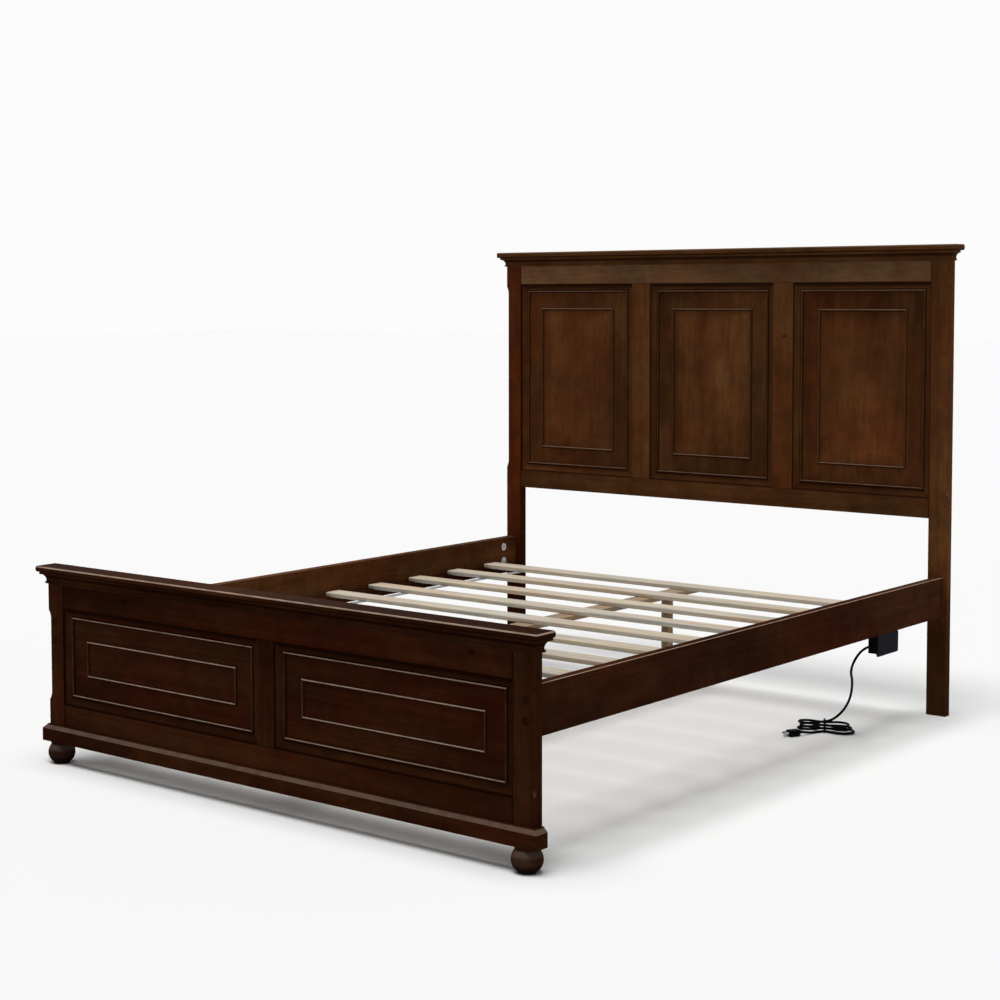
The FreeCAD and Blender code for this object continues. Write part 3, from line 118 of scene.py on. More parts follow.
def lobe(long, wide, way):
    """Control points out from the waist, round one end of the hank and back."""
    out = [(way * x * long, -way * y * wide) for x, y in LOBE_OUTLINE]
    back = [(x, -y) for x, y in reversed(out)]
    return out + [(way * LOBE_TIP * long, 0.0)] + back


def hank_points():
    """The whole hank from its plug end: both lobes of each turn, each turn above the last."""
    points = list(PLUG_LEAD)
    for turn in range(HANK_TURNS):
        out_lobe = lobe(*HANK_LOBES[turn], 1)
        back_lobe = lobe(*HANK_LOBES[(turn + 1) % len(HANK_LOBES)], -1)
        loop = [(0.0, -HANK_WAIST)] + out_lobe + [(0.0, HANK_WAIST)] + back_lobe
        for number, (x, y) in enumerate(loop):
            rise = HANK_PITCH * number / len(loop)
            near = max(0.0, 1.0 - abs(x) / HANK_CROSSING)
            points.append((x, y, HANK_FLOOR + HANK_PITCH * turn + rise + HANK_LIFT * near))
    points.append((0.0, -HANK_WAIST, HANK_FLOOR + HANK_PITCH * HANK_TURNS + HANK_LIFT))
    points.append(HANK_END)
    return [in_room(point) for point in points]


def link(thing):
    bpy.context.scene.collection.objects.link(thing)
    return thing


def spline_curve(name, points, width):
    """A round tube on one smooth spline with these control points."""
    curve = bpy.data.curves.new(name, "CURVE")
    curve.dimensions = "3D"
    spline = curve.splines.new("NURBS")
    spline.points.add(len(points) - 1)
    for number, point in enumerate(points):
        spline.points[number].co = (*point, 1.0)
    spline.order_u = 3
    spline.use_endpoint_u = True
    spline.resolution_u = 8
    curve.bevel_depth = width / 2
    curve.bevel_resolution = 4
    curve.use_fill_caps = True
    return link(bpy.data.objects.new(name, curve))


def curve_length(thing):
    """Length of a curve's centreline, read from the spline itself."""
    plain = thing.data.copy()
    plain.bevel_depth = 0.0
    probe = link(bpy.data.objects.new("probe", plain))
    bpy.context.view_layer.update()
    mesh = bpy.data.meshes.new_from_object(probe)
    total = 0.0
    for edge in mesh.edges:
        ends = [mesh.vertices[number].co for number in edge.vertices]
        total += (ends[0] - ends[1]).length
    bpy.data.objects.remove(probe)
    return total


def make_cord():
    points = hank_points()[::-1]
    cord = spline_curve("power_lead", CORD_DROP + points, CORD_WIDTH)
    print("cord length %.3f" % curve_length(cord))
    return cord


# ---------------------------------------------------------------- shader nodes

class Shader:
    """One material's node tree, with short ways to add and join nodes."""

    def __init__(self, name):
        self.material = bpy.data.materials.new(name)
        self.material.use_nodes = True
        self.tree = self.material.node_tree
        self.surface = self.tree.nodes["Principled BSDF"]
        self.coords = self.add("ShaderNodeTexCoord").outputs["Object"]

    def add(self, kind, settings=None, **inputs):
        node = self.tree.nodes.new(kind)
        for key, value in (settings or {}).items():
            setattr(node, key, value)
        for key, value in inputs.items():
            self.give(node.inputs[self.socket_key(key)], value)
        return node

    def socket_key(self, key):
        if key.startswith("i") and key[1:].isdigit():
            return int(key[1:])
        return key.replace("_", " ")

    def give(self, socket, value):
        if isinstance(value, bpy.types.NodeSocket):
            self.tree.links.new(value, socket)
        else:
            socket.default_value = value

    def math(self, operation, first, second=0.0):
        node = self.add("ShaderNodeMath", {"operation": operation}, i0=first, i1=second)
        return node.outputs[0]

    def moved(self, place=(0, 0, 0), scale=(1, 1, 1), coords=None):
        node = self.add("ShaderNodeMapping", Vector=coords or self.coords,
                        Location=place, Scale=scale)
        return node.outputs[0]

    def noise(self, coords, scale, detail=2.0, roughness=0.5, distortion=0.0):
        node = self.add("ShaderNodeTexNoise", Vector=coords, Scale=scale, Detail=detail,
                        Roughness=roughness, Distortion=distortion)
        return node.outputs["Fac"]

    def span(self, value, low, high, to_low=0.0, to_high=1.0):
        node = self.add("ShaderNodeMapRange", {"interpolation_type": "SMOOTHSTEP"},
                        i0=value, i1=low, i2=high, i3=to_low, i4=to_high)
        return node.outputs[0]

    def mix(self, amount, first, second, blend="MIX"):
        node = self.add("ShaderNodeMix", {"data_type": "RGBA", "blend_type": blend},
                        i0=amount, i6=first, i7=second)
        return node.outputs[2]

    def mix_vector(self, amount, first, second):
        node = self.add("ShaderNodeMix", {"data_type": "VECTOR"}, i0=amount, i4=first,
                        i5=second)
        return node.outputs[1]

    def axes(self, coords=None):
        return self.add("ShaderNodeSeparateXYZ", i0=coords or self.coords).outputs

    def finish(self, colour, roughness, height, strength, distance, specular):
        self.give(self.surface.inputs["Base Color"], colour)
        self.give(self.surface.inputs["Roughness"], roughness)
        self.surface.inputs["Specular IOR Level"].default_value = specular
        bump = self.add("ShaderNodeBump", Height=height, Strength=strength,
                        Distance=distance)
        self.give(self.surface.inputs["Normal"], bump.outputs[0])
        return self.material


def colour(red, green, blue):
    return (red, green, blue, 1.0)


class Stain:
    """The colours of one stained board, all lighter or darker by one strength."""

    def __init__(self, dark, middle, light, red, rubbed):
        self.tones = {"dark": dark, "middle": middle, "light": light, "red": red,
                      "rubbed": rubbed}
        self.strength = 1.0

    def times(self, strength):
        other = Stain(**self.tones)
        other.strength = self.strength * strength
        return other

    def tone(self, name, more=1.0):
        return colour(*(value * self.strength * more for value in self.tones[name]))


# the headboard's boards take a warm brown, with a redder left post; the low boards a deeper,
# redder brown, and the turned feet a greyer one. The headboard's brown and the low boards'
# deep brown are partly one stain lit and shaded: the headboard's painted lighter, as if lit
# from above, the low boards' painted darker, as painted shade. Each stain's last tone is the
# pale one of the painted highlights on upward-facing edges and of the bead crests.
BROWN = Stain((0.0441, 0.0145, 0.0050), (0.0928, 0.0365, 0.0130), (0.1392, 0.0650, 0.0255),
              (0.0928, 0.0267, 0.0087), (0.2700, 0.1750, 0.1250))
DEEP = Stain((0.0147, 0.0036, 0.0012), (0.0422, 0.0128, 0.0045), (0.0666, 0.0269, 0.0109),
             (0.0461, 0.0082, 0.0023), (0.5000, 0.3600, 0.2700))
RUSSET = Stain((0.0486, 0.0121, 0.0038), (0.0864, 0.0203, 0.0068), (0.1242, 0.0405, 0.0149),
               (0.0972, 0.0149, 0.0046), (0.1500, 0.0900, 0.0600))
# painted sheen: the headboard's top rail takes a greyer, paler brown that stands in for a
# reflected sheen
PAINTED_SHEEN_BROWN = Stain((0.0780, 0.0355, 0.0165), (0.1280, 0.0640, 0.0310), (0.1650, 0.0900, 0.0490),
              (0.1180, 0.0480, 0.0210), (0.2000, 0.1400, 0.1050))
TURNED = Stain((0.0220, 0.0094, 0.0055), (0.0462, 0.0220, 0.0138), (0.0660, 0.0341, 0.0231),
               (0.0396, 0.0143, 0.0077), (0.1100, 0.0800, 0.0620))
WOOD_GLOSS = 0.004
WOOD_BUMP = 0.0004
# roughness between the fibres and on them
BOARD_ROUGHNESS = (0.50, 0.64)
MOULDING_ROUGHNESS = (0.42, 0.56)
PINE_ROUGHNESS = (0.58, 0.72)
FIBRE_SCALE = 260.0
SEAM_REACH = 0.0034
# across the mouldings, inward from the opening's edge: the two beads' middles, and the places
# darkened with how far each reaches: at the opening's edge a dark joint with the frame and
# painted shade where the moulding steps down, and beside the beads painted shade in the
# hollows
BEAD_MIDDLES = (0.026, 0.085)
SHADED_HOLLOWS = ((0.0, 0.0046), (0.0215, 0.0026), (0.0300, 0.0026), (0.0805, 0.0026),
           (0.0895, 0.0026))
# usual strength of the painted highlight on a board's upward-facing edges
USUAL_TOP_HIGHLIGHT = 0.8
# height below which the headboard posts are painted darker, as painted shade
POST_PAINTED_SHADE_TOP = 0.34
GRAIN_SQUEEZE = 0.05
SQUEEZE = {
    "X": (GRAIN_SQUEEZE, 1.0, 1.0),
    "Y": (1.0, GRAIN_SQUEEZE, 1.0),
    "Z": (1.0, 1.0, GRAIN_SQUEEZE),
}


def wood_colour(shader, grain, cloud, seed, stain):
    """Stained wood along the squeezed coordinates: cloudy stain, rings, fibres and pores."""
    clouds = shader.noise(cloud, 2.6, 4.0, 0.6)
    red = shader.noise(shader.moved((seed, 3.1, 0.7), (1.4, 1.4, 1.4), cloud), 1.7, 2.0)
    figure = shader.noise(grain, 7.0, 3.0, 0.5, 0.5)
    rings = shader.math("SINE", shader.math("MULTIPLY", figure, 62.0))
    rings = shader.span(rings, -1.0, 1.0)
    blotches = shader.noise(shader.moved((seed, 0.4, 2.2)), 15.0, 4.0, 0.62)
    hue = shader.noise(shader.moved((2.7, seed, 1.1)), 7.0, 3.0, 0.55)
    fibres = shader.noise(grain, FIBRE_SCALE, 5.0, 0.65)
    pores = shader.span(shader.noise(grain, 620.0, 2.0, 0.5), 0.60, 0.72)
    base = shader.mix(shader.span(clouds, 0.30, 0.72), stain.tone("dark"),
                      stain.tone("middle"))
    base = shader.mix(shader.span(red, 0.45, 0.70, 0.0, 0.55), base, stain.tone("red"))
    light = shader.math("MULTIPLY", rings, shader.span(clouds, 0.35, 0.7, 0.05, 0.22))
    base = shader.mix(light, base, stain.tone("light"))
    shade = shader.math("MULTIPLY", shader.span(fibres, 0.25, 0.75, 0.80, 1.14),
                        shader.span(blotches, 0.28, 0.72, 0.82, 1.17))
    base = shader.mix(1.0, base, shade, "MULTIPLY")
    tint = shader.mix(shader.span(hue, 0.35, 0.65), colour(0.99, 1.07, 1.00),
                      colour(1.02, 0.93, 0.88))
    base = shader.mix(1.0, base, tint, "MULTIPLY")
    base = shader.mix(shader.math("MULTIPLY", pores, 0.40), base, stain.tone("dark"))
    height = shader.math("SUBTRACT", shader.math("MULTIPLY", fibres, 0.6),
                         shader.math("MULTIPLY", pores, 0.5))
    return base, fibres, height


def knot(shader, base, centre, radius, stain):
    """Darkens a small oval knot on a face that looks along the bed."""
    place = shader.moved(tuple(-value for value in centre))
    wobble = shader.noise(place, 60.0, 2.0)
    x, _, z = shader.axes(place)
    x = shader.math("MULTIPLY", x, 0.6)
    square = shader.math("ADD", shader.math("MULTIPLY", x, x),
                         shader.math("MULTIPLY", z, z))
    far = shader.math("SQRT", square)
    far = shader.math("ADD", far, shader.math("MULTIPLY", wobble, radius * 0.5))
    core = shader.span(far, radius * 0.5, radius * 1.1, 0.85, 0.0)
    return shader.mix(core, base, stain.tone("dark", 0.6))


def painted_top_light_and_under_shade(shader, base, stain, highlight_breakup, where):
    """Painted highlight: a paler tone on edges whose faces turn upward, as if lit from above;
    painted shade: a darker tone on faces that turn downward.
    """
    facing = shader.add("ShaderNodeTexCoord").outputs["Normal"]
    up = shader.axes(facing)[2]
    # painted highlight on faces turned partly upward, broken up by noise
    painted_top_highlight = shader.math("MULTIPLY", shader.span(up, 0.12, 0.42),
                        shader.span(up, 0.84, 0.96, 1.0, 0.0))
    painted_top_highlight = shader.math("MULTIPLY", painted_top_highlight, shader.span(highlight_breakup, 0.25, 0.6, 0.60, 0.9))
    base = shader.mix(shader.math("MULTIPLY", painted_top_highlight, where), base, stain.tone("rubbed"))
    # painted shade on faces that turn downward
    under = shader.span(up, -0.55, -0.12, 0.88, 0.0)
    return shader.mix(under, base, stain.tone("dark", 0.42))


def seam(shader, value, place, reach):
    """A mask that is 1 on one line of a coordinate and fades over reach."""
    off = shader.math("ABSOLUTE", shader.math("SUBTRACT", value, place))
    return shader.span(off, reach * 0.3, reach, 1.0, 0.0)


def joints(shader, base, stain, heights):
    """Dark glaze in the seams where a rail or post meets its neighbours."""
    x, _, z = shader.axes()
    lines = seam(shader, shader.math("ABSOLUTE", x), POST_INNER, SEAM_REACH)
    for height in heights:
        lines = shader.math("MAXIMUM", lines, seam(shader, z, height, SEAM_REACH))
    return shader.mix(shader.math("MULTIPLY", lines, 0.8), base, stain.tone("dark", 0.4))


def inset(shader, opening):
    """How far a point lies inside an opening: from its sides, from its ends, from its edge."""
    left, right, low, high = opening
    x, _, z = shader.axes()
    side = shader.math("MINIMUM", shader.math("SUBTRACT", x, left),
                       shader.math("SUBTRACT", right, x))
    end = shader.math("MINIMUM", shader.math("SUBTRACT", z, low),
                      shader.math("SUBTRACT", high, z))
    return side, end, shader.math("MINIMUM", side, end)


def darker_toward_mouldings(shader, base, opening):
    """A panel's field, paler in the middle and darker toward the mouldings round it."""
    inward = inset(shader, opening)[2]
    wave = shader.noise(shader.coords, 9.0, 3.0)
    inward = shader.math("ADD", inward, shader.math("MULTIPLY", wave, 0.05))
    shade = shader.span(inward, 0.075, 0.165, 0.66, 1.08)
    return shader.mix(1.0, base, shade, "MULTIPLY")


def painted_shade_low_on_post(shader, base, top):
    """Painted shade: a post painted darker toward its foot, from about the height top down,
    below the level of the bed's frame.
    """
    height = shader.axes()[2]
    shade = shader.span(height, top - 0.10, top + 0.16, 0.38, 1.0)
    return shader.mix(1.0, base, shade, "MULTIPLY")


def wood_place(seed):
    """Where in the texture one board was cut, so that no two boards look the same."""
    return (seed * 1.37, seed * 0.71, seed * 2.13)


def stained_wood(name, axis, seed, stain, knots, seams, opening, wear_and_sheen, painted_shade_height):
    """One board with its grain along an axis, and the strength of the painted highlight on its
    upward-facing edges. seams (the heights of its joints), opening (the one that a panel
    fills) and the height near which a post is painted darker downward, as painted shade, are
    None where they don't apply."""
    shader = Shader(name)
    place = wood_place(seed)
    grain = shader.moved(place, SQUEEZE[axis])
    cloud_squeeze = tuple(0.35 if value < 1 else 1.0 for value in SQUEEZE[axis])
    cloud = shader.moved(place, cloud_squeeze)
    base, fibres, height = wood_colour(shader, grain, cloud, seed, stain)
    for centre, radius in knots:
        base = knot(shader, base, centre, radius, stain)
    if opening:
        # a panel's field made darker toward the mouldings round it
        base = darker_toward_mouldings(shader, base, opening)
    # painted shade low on a post
    if painted_shade_height:
        base = painted_shade_low_on_post(shader, base, painted_shade_height)
    if seams is not None:
        base = joints(shader, base, stain, seams)
    # noise that breaks up the painted highlight
    highlight_breakup = shader.noise(shader.moved(place), 30.0, 3.0)
    base = painted_top_light_and_under_shade(shader, base, stain, highlight_breakup, wear_and_sheen)
    roughness = shader.span(fibres, 0.2, 0.8, *BOARD_ROUGHNESS)
    return shader.finish(base, roughness, height, 0.25, WOOD_BUMP, WOOD_GLOSS)


def moulding_wood(name, opening, seed, stain):
    """The mitred strips round one panel's opening: grain along each strip; along the bead
    crests a paler line, partly abrasion and partly painted highlight, with a painted highlight
    on the beads' upward faces and painted shade on their downward ones; and painted shade in
    the hollows beside them."""
    shader = Shader(name)
    side, end, inward = inset(shader, opening)
    upright = shader.math("LESS_THAN", side, end)
    place = wood_place(seed)
    along_x = shader.moved(place, SQUEEZE["X"])
    along_z = shader.moved(place, SQUEEZE["Z"])
    grain = shader.mix_vector(upright, along_x, along_z)
    base, fibres, height = wood_colour(shader, grain, grain, seed, stain)
    highlight_breakup = shader.noise(shader.moved(place), 34.0, 3.0)
    crest = None
    for middle in BEAD_MIDDLES:
        off = shader.math("ABSOLUTE", shader.math("SUBTRACT", inward, middle))
        band = shader.span(off, 0.0036, 0.0046, 1.0, 0.0)
        crest = band if crest is None else shader.math("MAXIMUM", crest, band)
    # a paler line along the bead crests: partly abrasion, partly painted highlight
    rubbed = shader.math("MULTIPLY", crest, shader.span(highlight_breakup, 0.3, 0.7, 0.005, 0.04))
    base = shader.mix(rubbed, base, stain.tone("rubbed"))
    # painted highlight on the beads' upward faces, painted shade on their downward ones
    base = painted_top_light_and_under_shade(shader, base, stain, highlight_breakup, crest)
    hollow_shade = None
    for middle, reach in SHADED_HOLLOWS:
        band = seam(shader, inward, middle, reach)
        hollow_shade = band if hollow_shade is None else shader.math("MAXIMUM", hollow_shade, band)
    # painted shade in the hollows beside the beads, and the dark joint at the opening's edge
    base = shader.mix(shader.math("MULTIPLY", hollow_shade, 0.8), base, stain.tone("dark", 0.45))
    roughness = shader.span(fibres, 0.2, 0.8, *MOULDING_ROUGHNESS)
    return shader.finish(base, roughness, height, 0.2, WOOD_BUMP, WOOD_GLOSS)


# pine's colours; the last, on faces that turn sideways, is painted shade
PINE = {
    "brown": colour(0.60, 0.51, 0.39), "pale": colour(0.68, 0.62, 0.51),
    "ring": colour(0.48, 0.35, 0.21), "grey": colour(0.44, 0.43, 0.40),
    "pink": colour(0.60, 0.41, 0.28), "yellow": colour(0.72, 0.62, 0.40),
    "knot": colour(0.22, 0.12, 0.06), "sawn": colour(0.62, 0.52, 0.42),
}
# what a piece's colours are multiplied by; the centre rail's and its legs' darker brown is
# painted shade, as they stand under the slats
SLAT_TONE = (1.0, 1.0, 1.0)
RAIL_PAINTED_SHADE = (0.62, 0.52, 0.44)
LEG_PAINTED_SHADE = (0.42, 0.34, 0.26)


def pine(name, axis, seed, tone):
    """Bare planed pine: pale, with soft rings, grey, pink and yellow streaks and a few knots;
    faces that turn sideways are painted browner and darker than the top and bottom ones, as
    painted shade."""
    shader = Shader(name)
    place = (seed * 0.93, seed * 1.71, seed * 0.37)
    grain = shader.moved(place, SQUEEZE[axis])
    figure = shader.noise(grain, 15.0, 2.5, 0.5, 0.35)
    rings = shader.span(shader.math("SINE", shader.math("MULTIPLY", figure, 46.0)),
                        -0.9, 1.0)
    board = shader.noise(shader.moved(place), 1.8, 2.0)
    streaks = shader.noise(grain, 48.0, 3.0, 0.6)
    patches = shader.noise(shader.moved((place[1], place[0], 3.0), SQUEEZE[axis]), 24.0, 3.0)
    fibres = shader.noise(grain, FIBRE_SCALE, 4.0, 0.6)
    base = shader.mix(shader.span(board, 0.35, 0.65), PINE["brown"], PINE["pale"])
    base = shader.mix(shader.math("MULTIPLY", rings, 0.30), base, PINE["ring"])
    base = shader.mix(shader.span(streaks, 0.50, 0.64, 0.0, 0.80), base, PINE["grey"])
    base = shader.mix(shader.span(streaks, 0.34, 0.48, 0.75, 0.0), base, PINE["pink"])
    base = shader.mix(shader.span(patches, 0.56, 0.70, 0.0, 0.5), base, PINE["yellow"])
    spots = shader.add("ShaderNodeTexVoronoi", Vector=shader.moved(place, (4.6, 9.0, 9.0)),
                       Scale=1.0)
    eyes = shader.span(spots.outputs["Distance"], 0.03, 0.085, 0.75, 0.0)
    base = shader.mix(eyes, base, PINE["knot"])
    base = shader.mix(1.0, base, shader.span(fibres, 0.2, 0.8, 0.84, 1.08), "MULTIPLY")
    up = shader.axes(shader.add("ShaderNodeTexCoord").outputs["Normal"])[2]
    # painted shade: faces that turn sideways are darkened toward brown
    sawn = shader.span(shader.math("ABSOLUTE", up), 0.3, 0.8, 0.20, 0.0)
    base = shader.mix(sawn, base, shader.mix(1.0, base, PINE["sawn"], "MULTIPLY"))
    # the piece's multiplier: painted shade on the centre rail and its legs
    base = shader.mix(1.0, base, colour(*tone), "MULTIPLY")
    roughness = shader.span(fibres, 0.2, 0.8, *PINE_ROUGHNESS)
    return shader.finish(base, roughness, fibres, 0.3, 0.0003, 0.2)


TAPE_EDGES = (0.6120, 0.6400)
TAPE_HEM = 0.0030
# waves of the threads in radians for each metre
TAPE_RIBS = 3100.0
TAPE_THREADS = 5200.0
TAPE = {
    "between": colour(0.26, 0.26, 0.27), "thread": colour(0.42, 0.42, 0.42),
    "hem": colour(0.18, 0.18, 0.20), "dust": colour(0.24, 0.22, 0.19),
}


def woven_tape(name):
    """Grey-white woven tape: ribs across it, threads along it, a firmer edge, some dust."""
    shader = Shader(name)
    x, y, _ = shader.axes()
    ribs = shader.math("SINE", shader.math("MULTIPLY", y, TAPE_RIBS))
    across = shader.span(ribs, -1.0, 1.0)
    threads = shader.math("SINE", shader.math("MULTIPLY", x, TAPE_THREADS))
    along = shader.span(threads, -1.0, 1.0)
    weave = shader.math("MULTIPLY", across, shader.span(along, 0.0, 1.0, 0.6, 1.0))
    side = shader.math("ABSOLUTE", x)
    inner, outer = TAPE_EDGES
    edge = shader.math("MAXIMUM", shader.span(side, inner, inner + TAPE_HEM, 1.0, 0.0),
                       shader.span(side, outer - TAPE_HEM, outer, 0.0, 1.0))
    dust = shader.noise(shader.coords, 35.0, 3.0)
    base = shader.mix(weave, TAPE["between"], TAPE["thread"])
    base = shader.mix(shader.math("MULTIPLY", edge, 0.5), base, TAPE["hem"])
    base = shader.mix(shader.span(dust, 0.4, 0.8, 0.0, 0.4), base, TAPE["dust"])
    return shader.finish(base, 0.9, weave, 0.5, 0.0003, 0.1)


ZINC = (0.46, 0.45, 0.43)
PIN_METAL = (0.60, 0.60, 0.60)
CORD_BLACK = (0.0045, 0.0042, 0.0050)
BOX_BLACK = (0.0042, 0.0034, 0.0056)
PLATE_BLACK = (0.0075, 0.0058, 0.0105)


def metal(name, tone, roughness, scratch):
    """Zinc-plated steel with fine uneven wear."""
    shader = Shader(name)
    shader.surface.inputs["Metallic"].default_value = 1.0
    spots = shader.noise(shader.coords, 240.0, 3.0)
    lines = shader.noise(shader.moved(scale=(60, 900, 900)), 1.0, 3.0)
    dark = colour(*(value * 0.72 for value in tone))
    base = shader.mix(shader.span(spots, 0.35, 0.7), dark, colour(*tone))
    wear_and_sheen = shader.span(lines, 0.3, 0.7, roughness, roughness + scratch)
    return shader.finish(base, wear_and_sheen, lines, 0.15, 0.0001, 0.5)


def plastic(name, tone, roughness, grain_scale, strength):
    """Moulded black plastic or cord jacket with a fine skin."""
    shader = Shader(name)
    skin = shader.noise(shader.coords, grain_scale, 2.0, 0.6)
    broad = shader.noise(shader.coords, 40.0, 2.0)
    lighter = colour(*(value * 1.5 for value in tone))
    base = shader.mix(shader.span(broad, 0.35, 0.65), colour(*tone), lighter)
    rough = shader.span(broad, 0.3, 0.7, roughness, roughness + 0.12)
    return shader.finish(base, rough, skin, strength, 0.0002, 0.015)


# ---------------------------------------------------------------- dressing the frame

def dress(node, material):
    """Gives one material to every slot of a CAD node."""
    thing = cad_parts[node]
    slots = thing.material_slots
    for slot in slots:
        slot.material = material
    if not slots:
        thing.data.materials.append(material)


def openings(names, mullion, heights):
    """The panel openings of a board: name to left, right, low and high."""
    wide = (2 * POST_INNER - (len(names) - 1) * mullion) / len(names)
    starts = [-POST_INNER + number * (wide + mullion) for number in range(len(names))]
    return {name: (start, start + wide, *heights) for name, start in zip(names, starts)}


def head_openings():
    return openings(("left", "centre", "right"), HEAD_MULLION, HEAD_OPENING)


def foot_openings():
    return openings(("left", "right"), FOOT_MULLION, FOOT_OPENING)


def dress_wood():
    along_x = ["headboard_top_rail", "headboard_bottom_rail", "headboard_cap",
               "headboard_bed_mould", "footboard_top_rail", "footboard_bottom_rail",
               "footboard_cap", "footboard_bed_mould", "footboard_plinth",
               "footboard_panel_left", "footboard_panel_right"]
    along_y = ["side_rail_left", "side_rail_right", "slat_ledge_left", "slat_ledge_right"]
    along_z = ["headboard_post_left", "headboard_post_right", "headboard_mullion_left",
               "headboard_mullion_right", "headboard_panel_left", "headboard_panel_centre",
               "headboard_panel_right", "footboard_post_left", "footboard_post_right",
               "footboard_mullion", "bun_foot_left", "bun_foot_right", "bolt_hole_plugs"]
    knots = {
        "footboard_top_rail": [((0.640, FOOT_FRONT, 0.474), 0.011),
                               ((-0.508, FOOT_FRONT, 0.470), 0.008)],
        "headboard_mullion_right": [((0.268, HEAD_FRONT, 1.128), 0.008)],
    }
    # each board's stain and strength; the two side rails, one material, are painted as lighter
    # and darker copies of it with different stains and strengths, as painted light
    stains = {
        "headboard_panel_left": BROWN.times(1.75), "headboard_panel_centre": BROWN.times(1.6),
        "headboard_panel_right": BROWN.times(1.4), "headboard_mullion_left": BROWN.times(1.25),
        "headboard_mullion_right": BROWN.times(1.35), "headboard_post_right": BROWN.times(1.6),
        "headboard_top_rail": PAINTED_SHEEN_BROWN.times(1.25),
        "headboard_post_left": RUSSET.times(1.15), "side_rail_right": DEEP.times(1.3),
        "side_rail_left": BROWN.times(1.35), "bun_foot_left": TURNED, "bun_foot_right": TURNED,
    }
    seams = {
        "headboard_top_rail": HEAD_OPENING[1:], "headboard_bottom_rail": HEAD_OPENING[:1],
        "footboard_top_rail": FOOT_OPENING[1:], "footboard_bottom_rail": FOOT_OPENING[:1],
        "headboard_post_left": (), "headboard_post_right": (),
        "footboard_post_left": (), "footboard_post_right": (),
    }
    # how strong each board's painted highlight on upward-facing edges is; the rest take the
    # usual strength
    wear_and_sheen = {"footboard_plinth": 0.22, "headboard_cap": 0.5, "side_rail_left": 0.3,
            "headboard_post_left": 0.1, "headboard_post_right": 0.1,
            "footboard_post_left": 0.1, "footboard_post_right": 0.1,
            "bun_foot_left": 0.6, "bun_foot_right": 0.6, "bolt_hole_plugs": 0.2}
    fields = {"headboard_panel_" + place: opening
              for place, opening in head_openings().items()}
    seed = 0
    for axis, names in (("X", along_x), ("Y", along_y), ("Z", along_z)):
        for name in names:
            seed += 1
            # headboard boards take the lighter brown, low boards the deeper one: partly
            # painted light, lighter as if lit and darker as painted shade
            usual = BROWN if name.startswith("headboard") else DEEP
            # painted shade low on the headboard posts
            painted_shade_height = POST_PAINTED_SHADE_TOP if name.startswith("headboard_post") else None
            dress(name, stained_wood("wood_" + name, axis, seed, stains.get(name, usual),
                                     knots.get(name, ()), seams.get(name),
                                     fields.get(name), wear_and_sheen.get(name, USUAL_TOP_HIGHLIGHT), painted_shade_height))
    # the mouldings take the same lit and shaded browns as their boards
    boards = [
        ("headboard", head_openings(), BROWN.times(0.95)),
        ("footboard", foot_openings(), DEEP),
    ]
    for board, places, stain in boards:
        for place, opening in places.items():
            seed += 1
            name = board + "_mouldings_" + place
            dress(name, moulding_wood("wood_" + name, opening, seed, stain))


def dress_rest():
    for number in range(1, SLAT_COUNT + 1):
        dress("slat_%02d" % number, pine("pine_slat_%02d" % number, "X", number, SLAT_TONE))
    dress("slat_tapes", woven_tape("tape_weave"))
    dress("centre_support_rail", pine("pine_centre_rail", "Y", 23, RAIL_PAINTED_SHADE))
    dress("centre_support_legs", pine("pine_legs", "Z", 24, LEG_PAINTED_SHADE))
    zinc = metal("zinc_plate", ZINC, 0.42, 0.14)
    for name in ("bed_bolts", "bed_bolt_washers", "barrel_nuts", "slat_screws",
                 "wood_screws", "foot_hanger_bolts"):
        dress(name, zinc)
    dress("power_box_body", plastic("box_body", BOX_BLACK, 0.50, 900.0, 0.3))
    dress("power_box_plate", plastic("box_plate", PLATE_BLACK, 0.45, 700.0, 0.3))
    dress("plug_pins", metal("plug_metal", PIN_METAL, 0.25, 0.1))
    for name, skin in (("cord_strain_relief", "relief_skin"), ("plug_body", "plug_skin"),
                       ("cord_hank_tie", "tie_skin")):
        dress(name, plastic(skin, CORD_BLACK, 0.5, 500.0, 0.2))


# ---------------------------------------------------------------- floor, world and lamps

PAPER_WHITE = 0.972
PAPER_PATCH = (0.975, 0.975, 0.972)
FLOOR_BOUNCE = (0.74, 0.74, 0.735)
FLOOR_HALF = 40.0
# directions from low to high, and the light there: mirrored along y, all the rest along z
MIRRORED = (-0.35, 0.35, 0.12, PAPER_WHITE)
FILL = (0.18, 0.55, 0.62, 0.04)
SUN_ENERGY = 2.74
SUN_ANGLE = math.radians(40)
SUN_PLACE = (0.0, -0.9, 6.0)


def make_floor():
    mesh = bpy.data.meshes.new("floor")
    corners = [(-1, -1), (1, -1), (1, 1), (-1, 1)]
    mesh.from_pydata([(x * FLOOR_HALF, y * FLOOR_HALF, 0) for x, y in corners], [],
                     [(0, 1, 2, 3)])
    floor = link(bpy.data.objects.new("floor", mesh))
    shader = Shader("floor_paper")
    fine = shader.noise(shader.coords, 3.0, 2.0)
    tint = shader.mix(fine, colour(PAPER_WHITE, PAPER_WHITE, PAPER_WHITE * 0.997),
                      colour(*PAPER_PATCH))
    # to the camera and in mirrors it is paper white; a little less light bounces off it
    rays = shader.add("ShaderNodeLightPath").outputs
    sight = shader.math("MAXIMUM", rays["Is Camera Ray"], rays["Is Glossy Ray"])
    sight = shader.math("MAXIMUM", sight, rays["Is Transmission Ray"])
    tint = shader.mix(sight, colour(*FLOOR_BOUNCE), tint)
    shader.finish(tint, 1.0, fine, 0.0, 0.001, 0.0)
    floor.data.materials.append(shader.material)


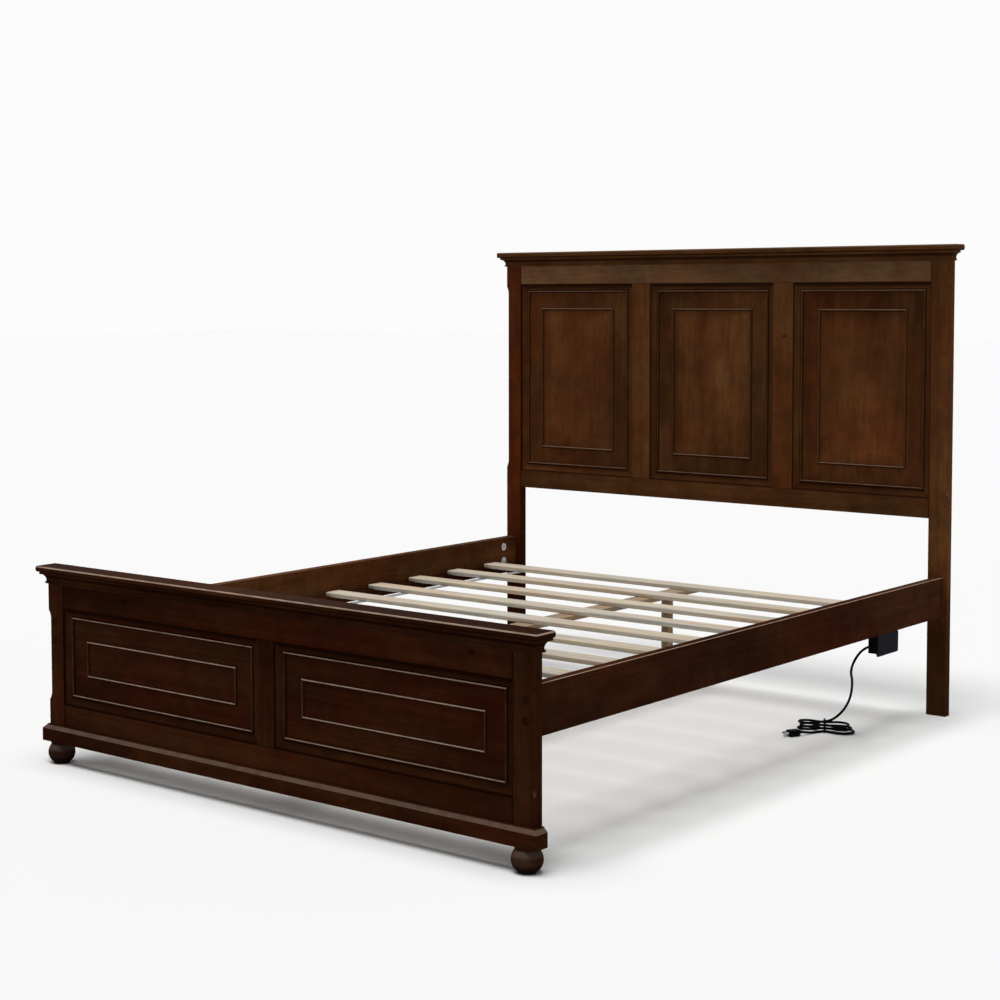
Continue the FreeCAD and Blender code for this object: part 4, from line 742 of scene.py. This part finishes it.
def ramp(tree, value, low, high, to_low, to_high):
    """A smooth step of a world direction's coordinate."""
    node = tree.nodes.new("ShaderNodeMapRange")
    node.interpolation_type = "SMOOTHSTEP"
    tree.links.new(value, node.inputs[0])
    for number, setting in enumerate((low, high, to_low, to_high), 1):
        node.inputs[number].default_value = setting
    return node.outputs[0]


def background(tree, light):
    """A Background node of one colour, or of a brightness that a socket gives."""
    node = tree.nodes.new("ShaderNodeBackground")
    if isinstance(light, bpy.types.NodeSocket):
        tree.links.new(light, node.inputs["Color"])
    else:
        node.inputs["Color"].default_value = light
    return node.outputs[0]


def choose(tree, switch, first, second):
    """The second shader where the switch is 1, and the first where it is 0."""
    node = tree.nodes.new("ShaderNodeMixShader")
    for number, socket in enumerate((switch, first, second)):
        tree.links.new(socket, node.inputs[number])
    return node.outputs[0]


def make_world():
    world = bpy.data.worlds.new("studio")
    bpy.context.scene.world = world
    world.use_nodes = True
    tree = world.node_tree
    tree.nodes.clear()
    paths = tree.nodes.new("ShaderNodeLightPath").outputs
    coords = tree.nodes.new("ShaderNodeTexCoord")
    split = tree.nodes.new("ShaderNodeSeparateXYZ")
    tree.links.new(coords.outputs["Generated"], split.inputs[0])
    # mirrored: a white sweep behind the bed, a dim room on the side where the camera stood
    mirrored = background(tree, ramp(tree, split.outputs[1], *MIRRORED))
    # light on the object: soft boxes all round, a dim ceiling, so the shade under it is deep
    fill = background(tree, ramp(tree, split.outputs[2], *FILL))
    seen = background(tree, (PAPER_WHITE, PAPER_WHITE, 0.968, 1.0))
    unseen = choose(tree, paths["Is Glossy Ray"], fill, mirrored)
    sight = tree.nodes.new("ShaderNodeMath")
    sight.operation = "MAXIMUM"
    tree.links.new(paths["Is Camera Ray"], sight.inputs[0])
    tree.links.new(paths["Is Transmission Ray"], sight.inputs[1])
    output = tree.nodes.new("ShaderNodeOutputWorld")
    tree.links.new(choose(tree, sight.outputs[0], unseen, seen), output.inputs["Surface"])


def aim(lamp, place, target):
    """Puts a lamp at a place, pointing at a target."""
    way = Vector(target) - Vector(place)
    turn = way.to_track_quat("-Z", "Y").to_matrix().to_4x4()
    lamp.matrix_world = Matrix.Translation(place) @ turn


def make_lamps():
    top = link(bpy.data.objects.new("overhead", bpy.data.lights.new("overhead", "SUN")))
    top.data.energy = SUN_ENERGY
    top.data.angle = SUN_ANGLE
    aim(top, SUN_PLACE, (0.0, 0.0, 0.0))


# ---------------------------------------------------------------- the scene

make_camera()
cord = make_cord()
cord.data.materials.append(plastic("cord_skin", CORD_BLACK, 0.45, 400.0, 0.1))
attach(cord, "root")
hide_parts("power_cord", "power_cord_hank")
round(curve_length(cord), 2)
dress_wood()
dress_rest()
make_floor()
make_world()
make_lamps()
bpy.context.scene.view_settings.view_transform = "Standard"
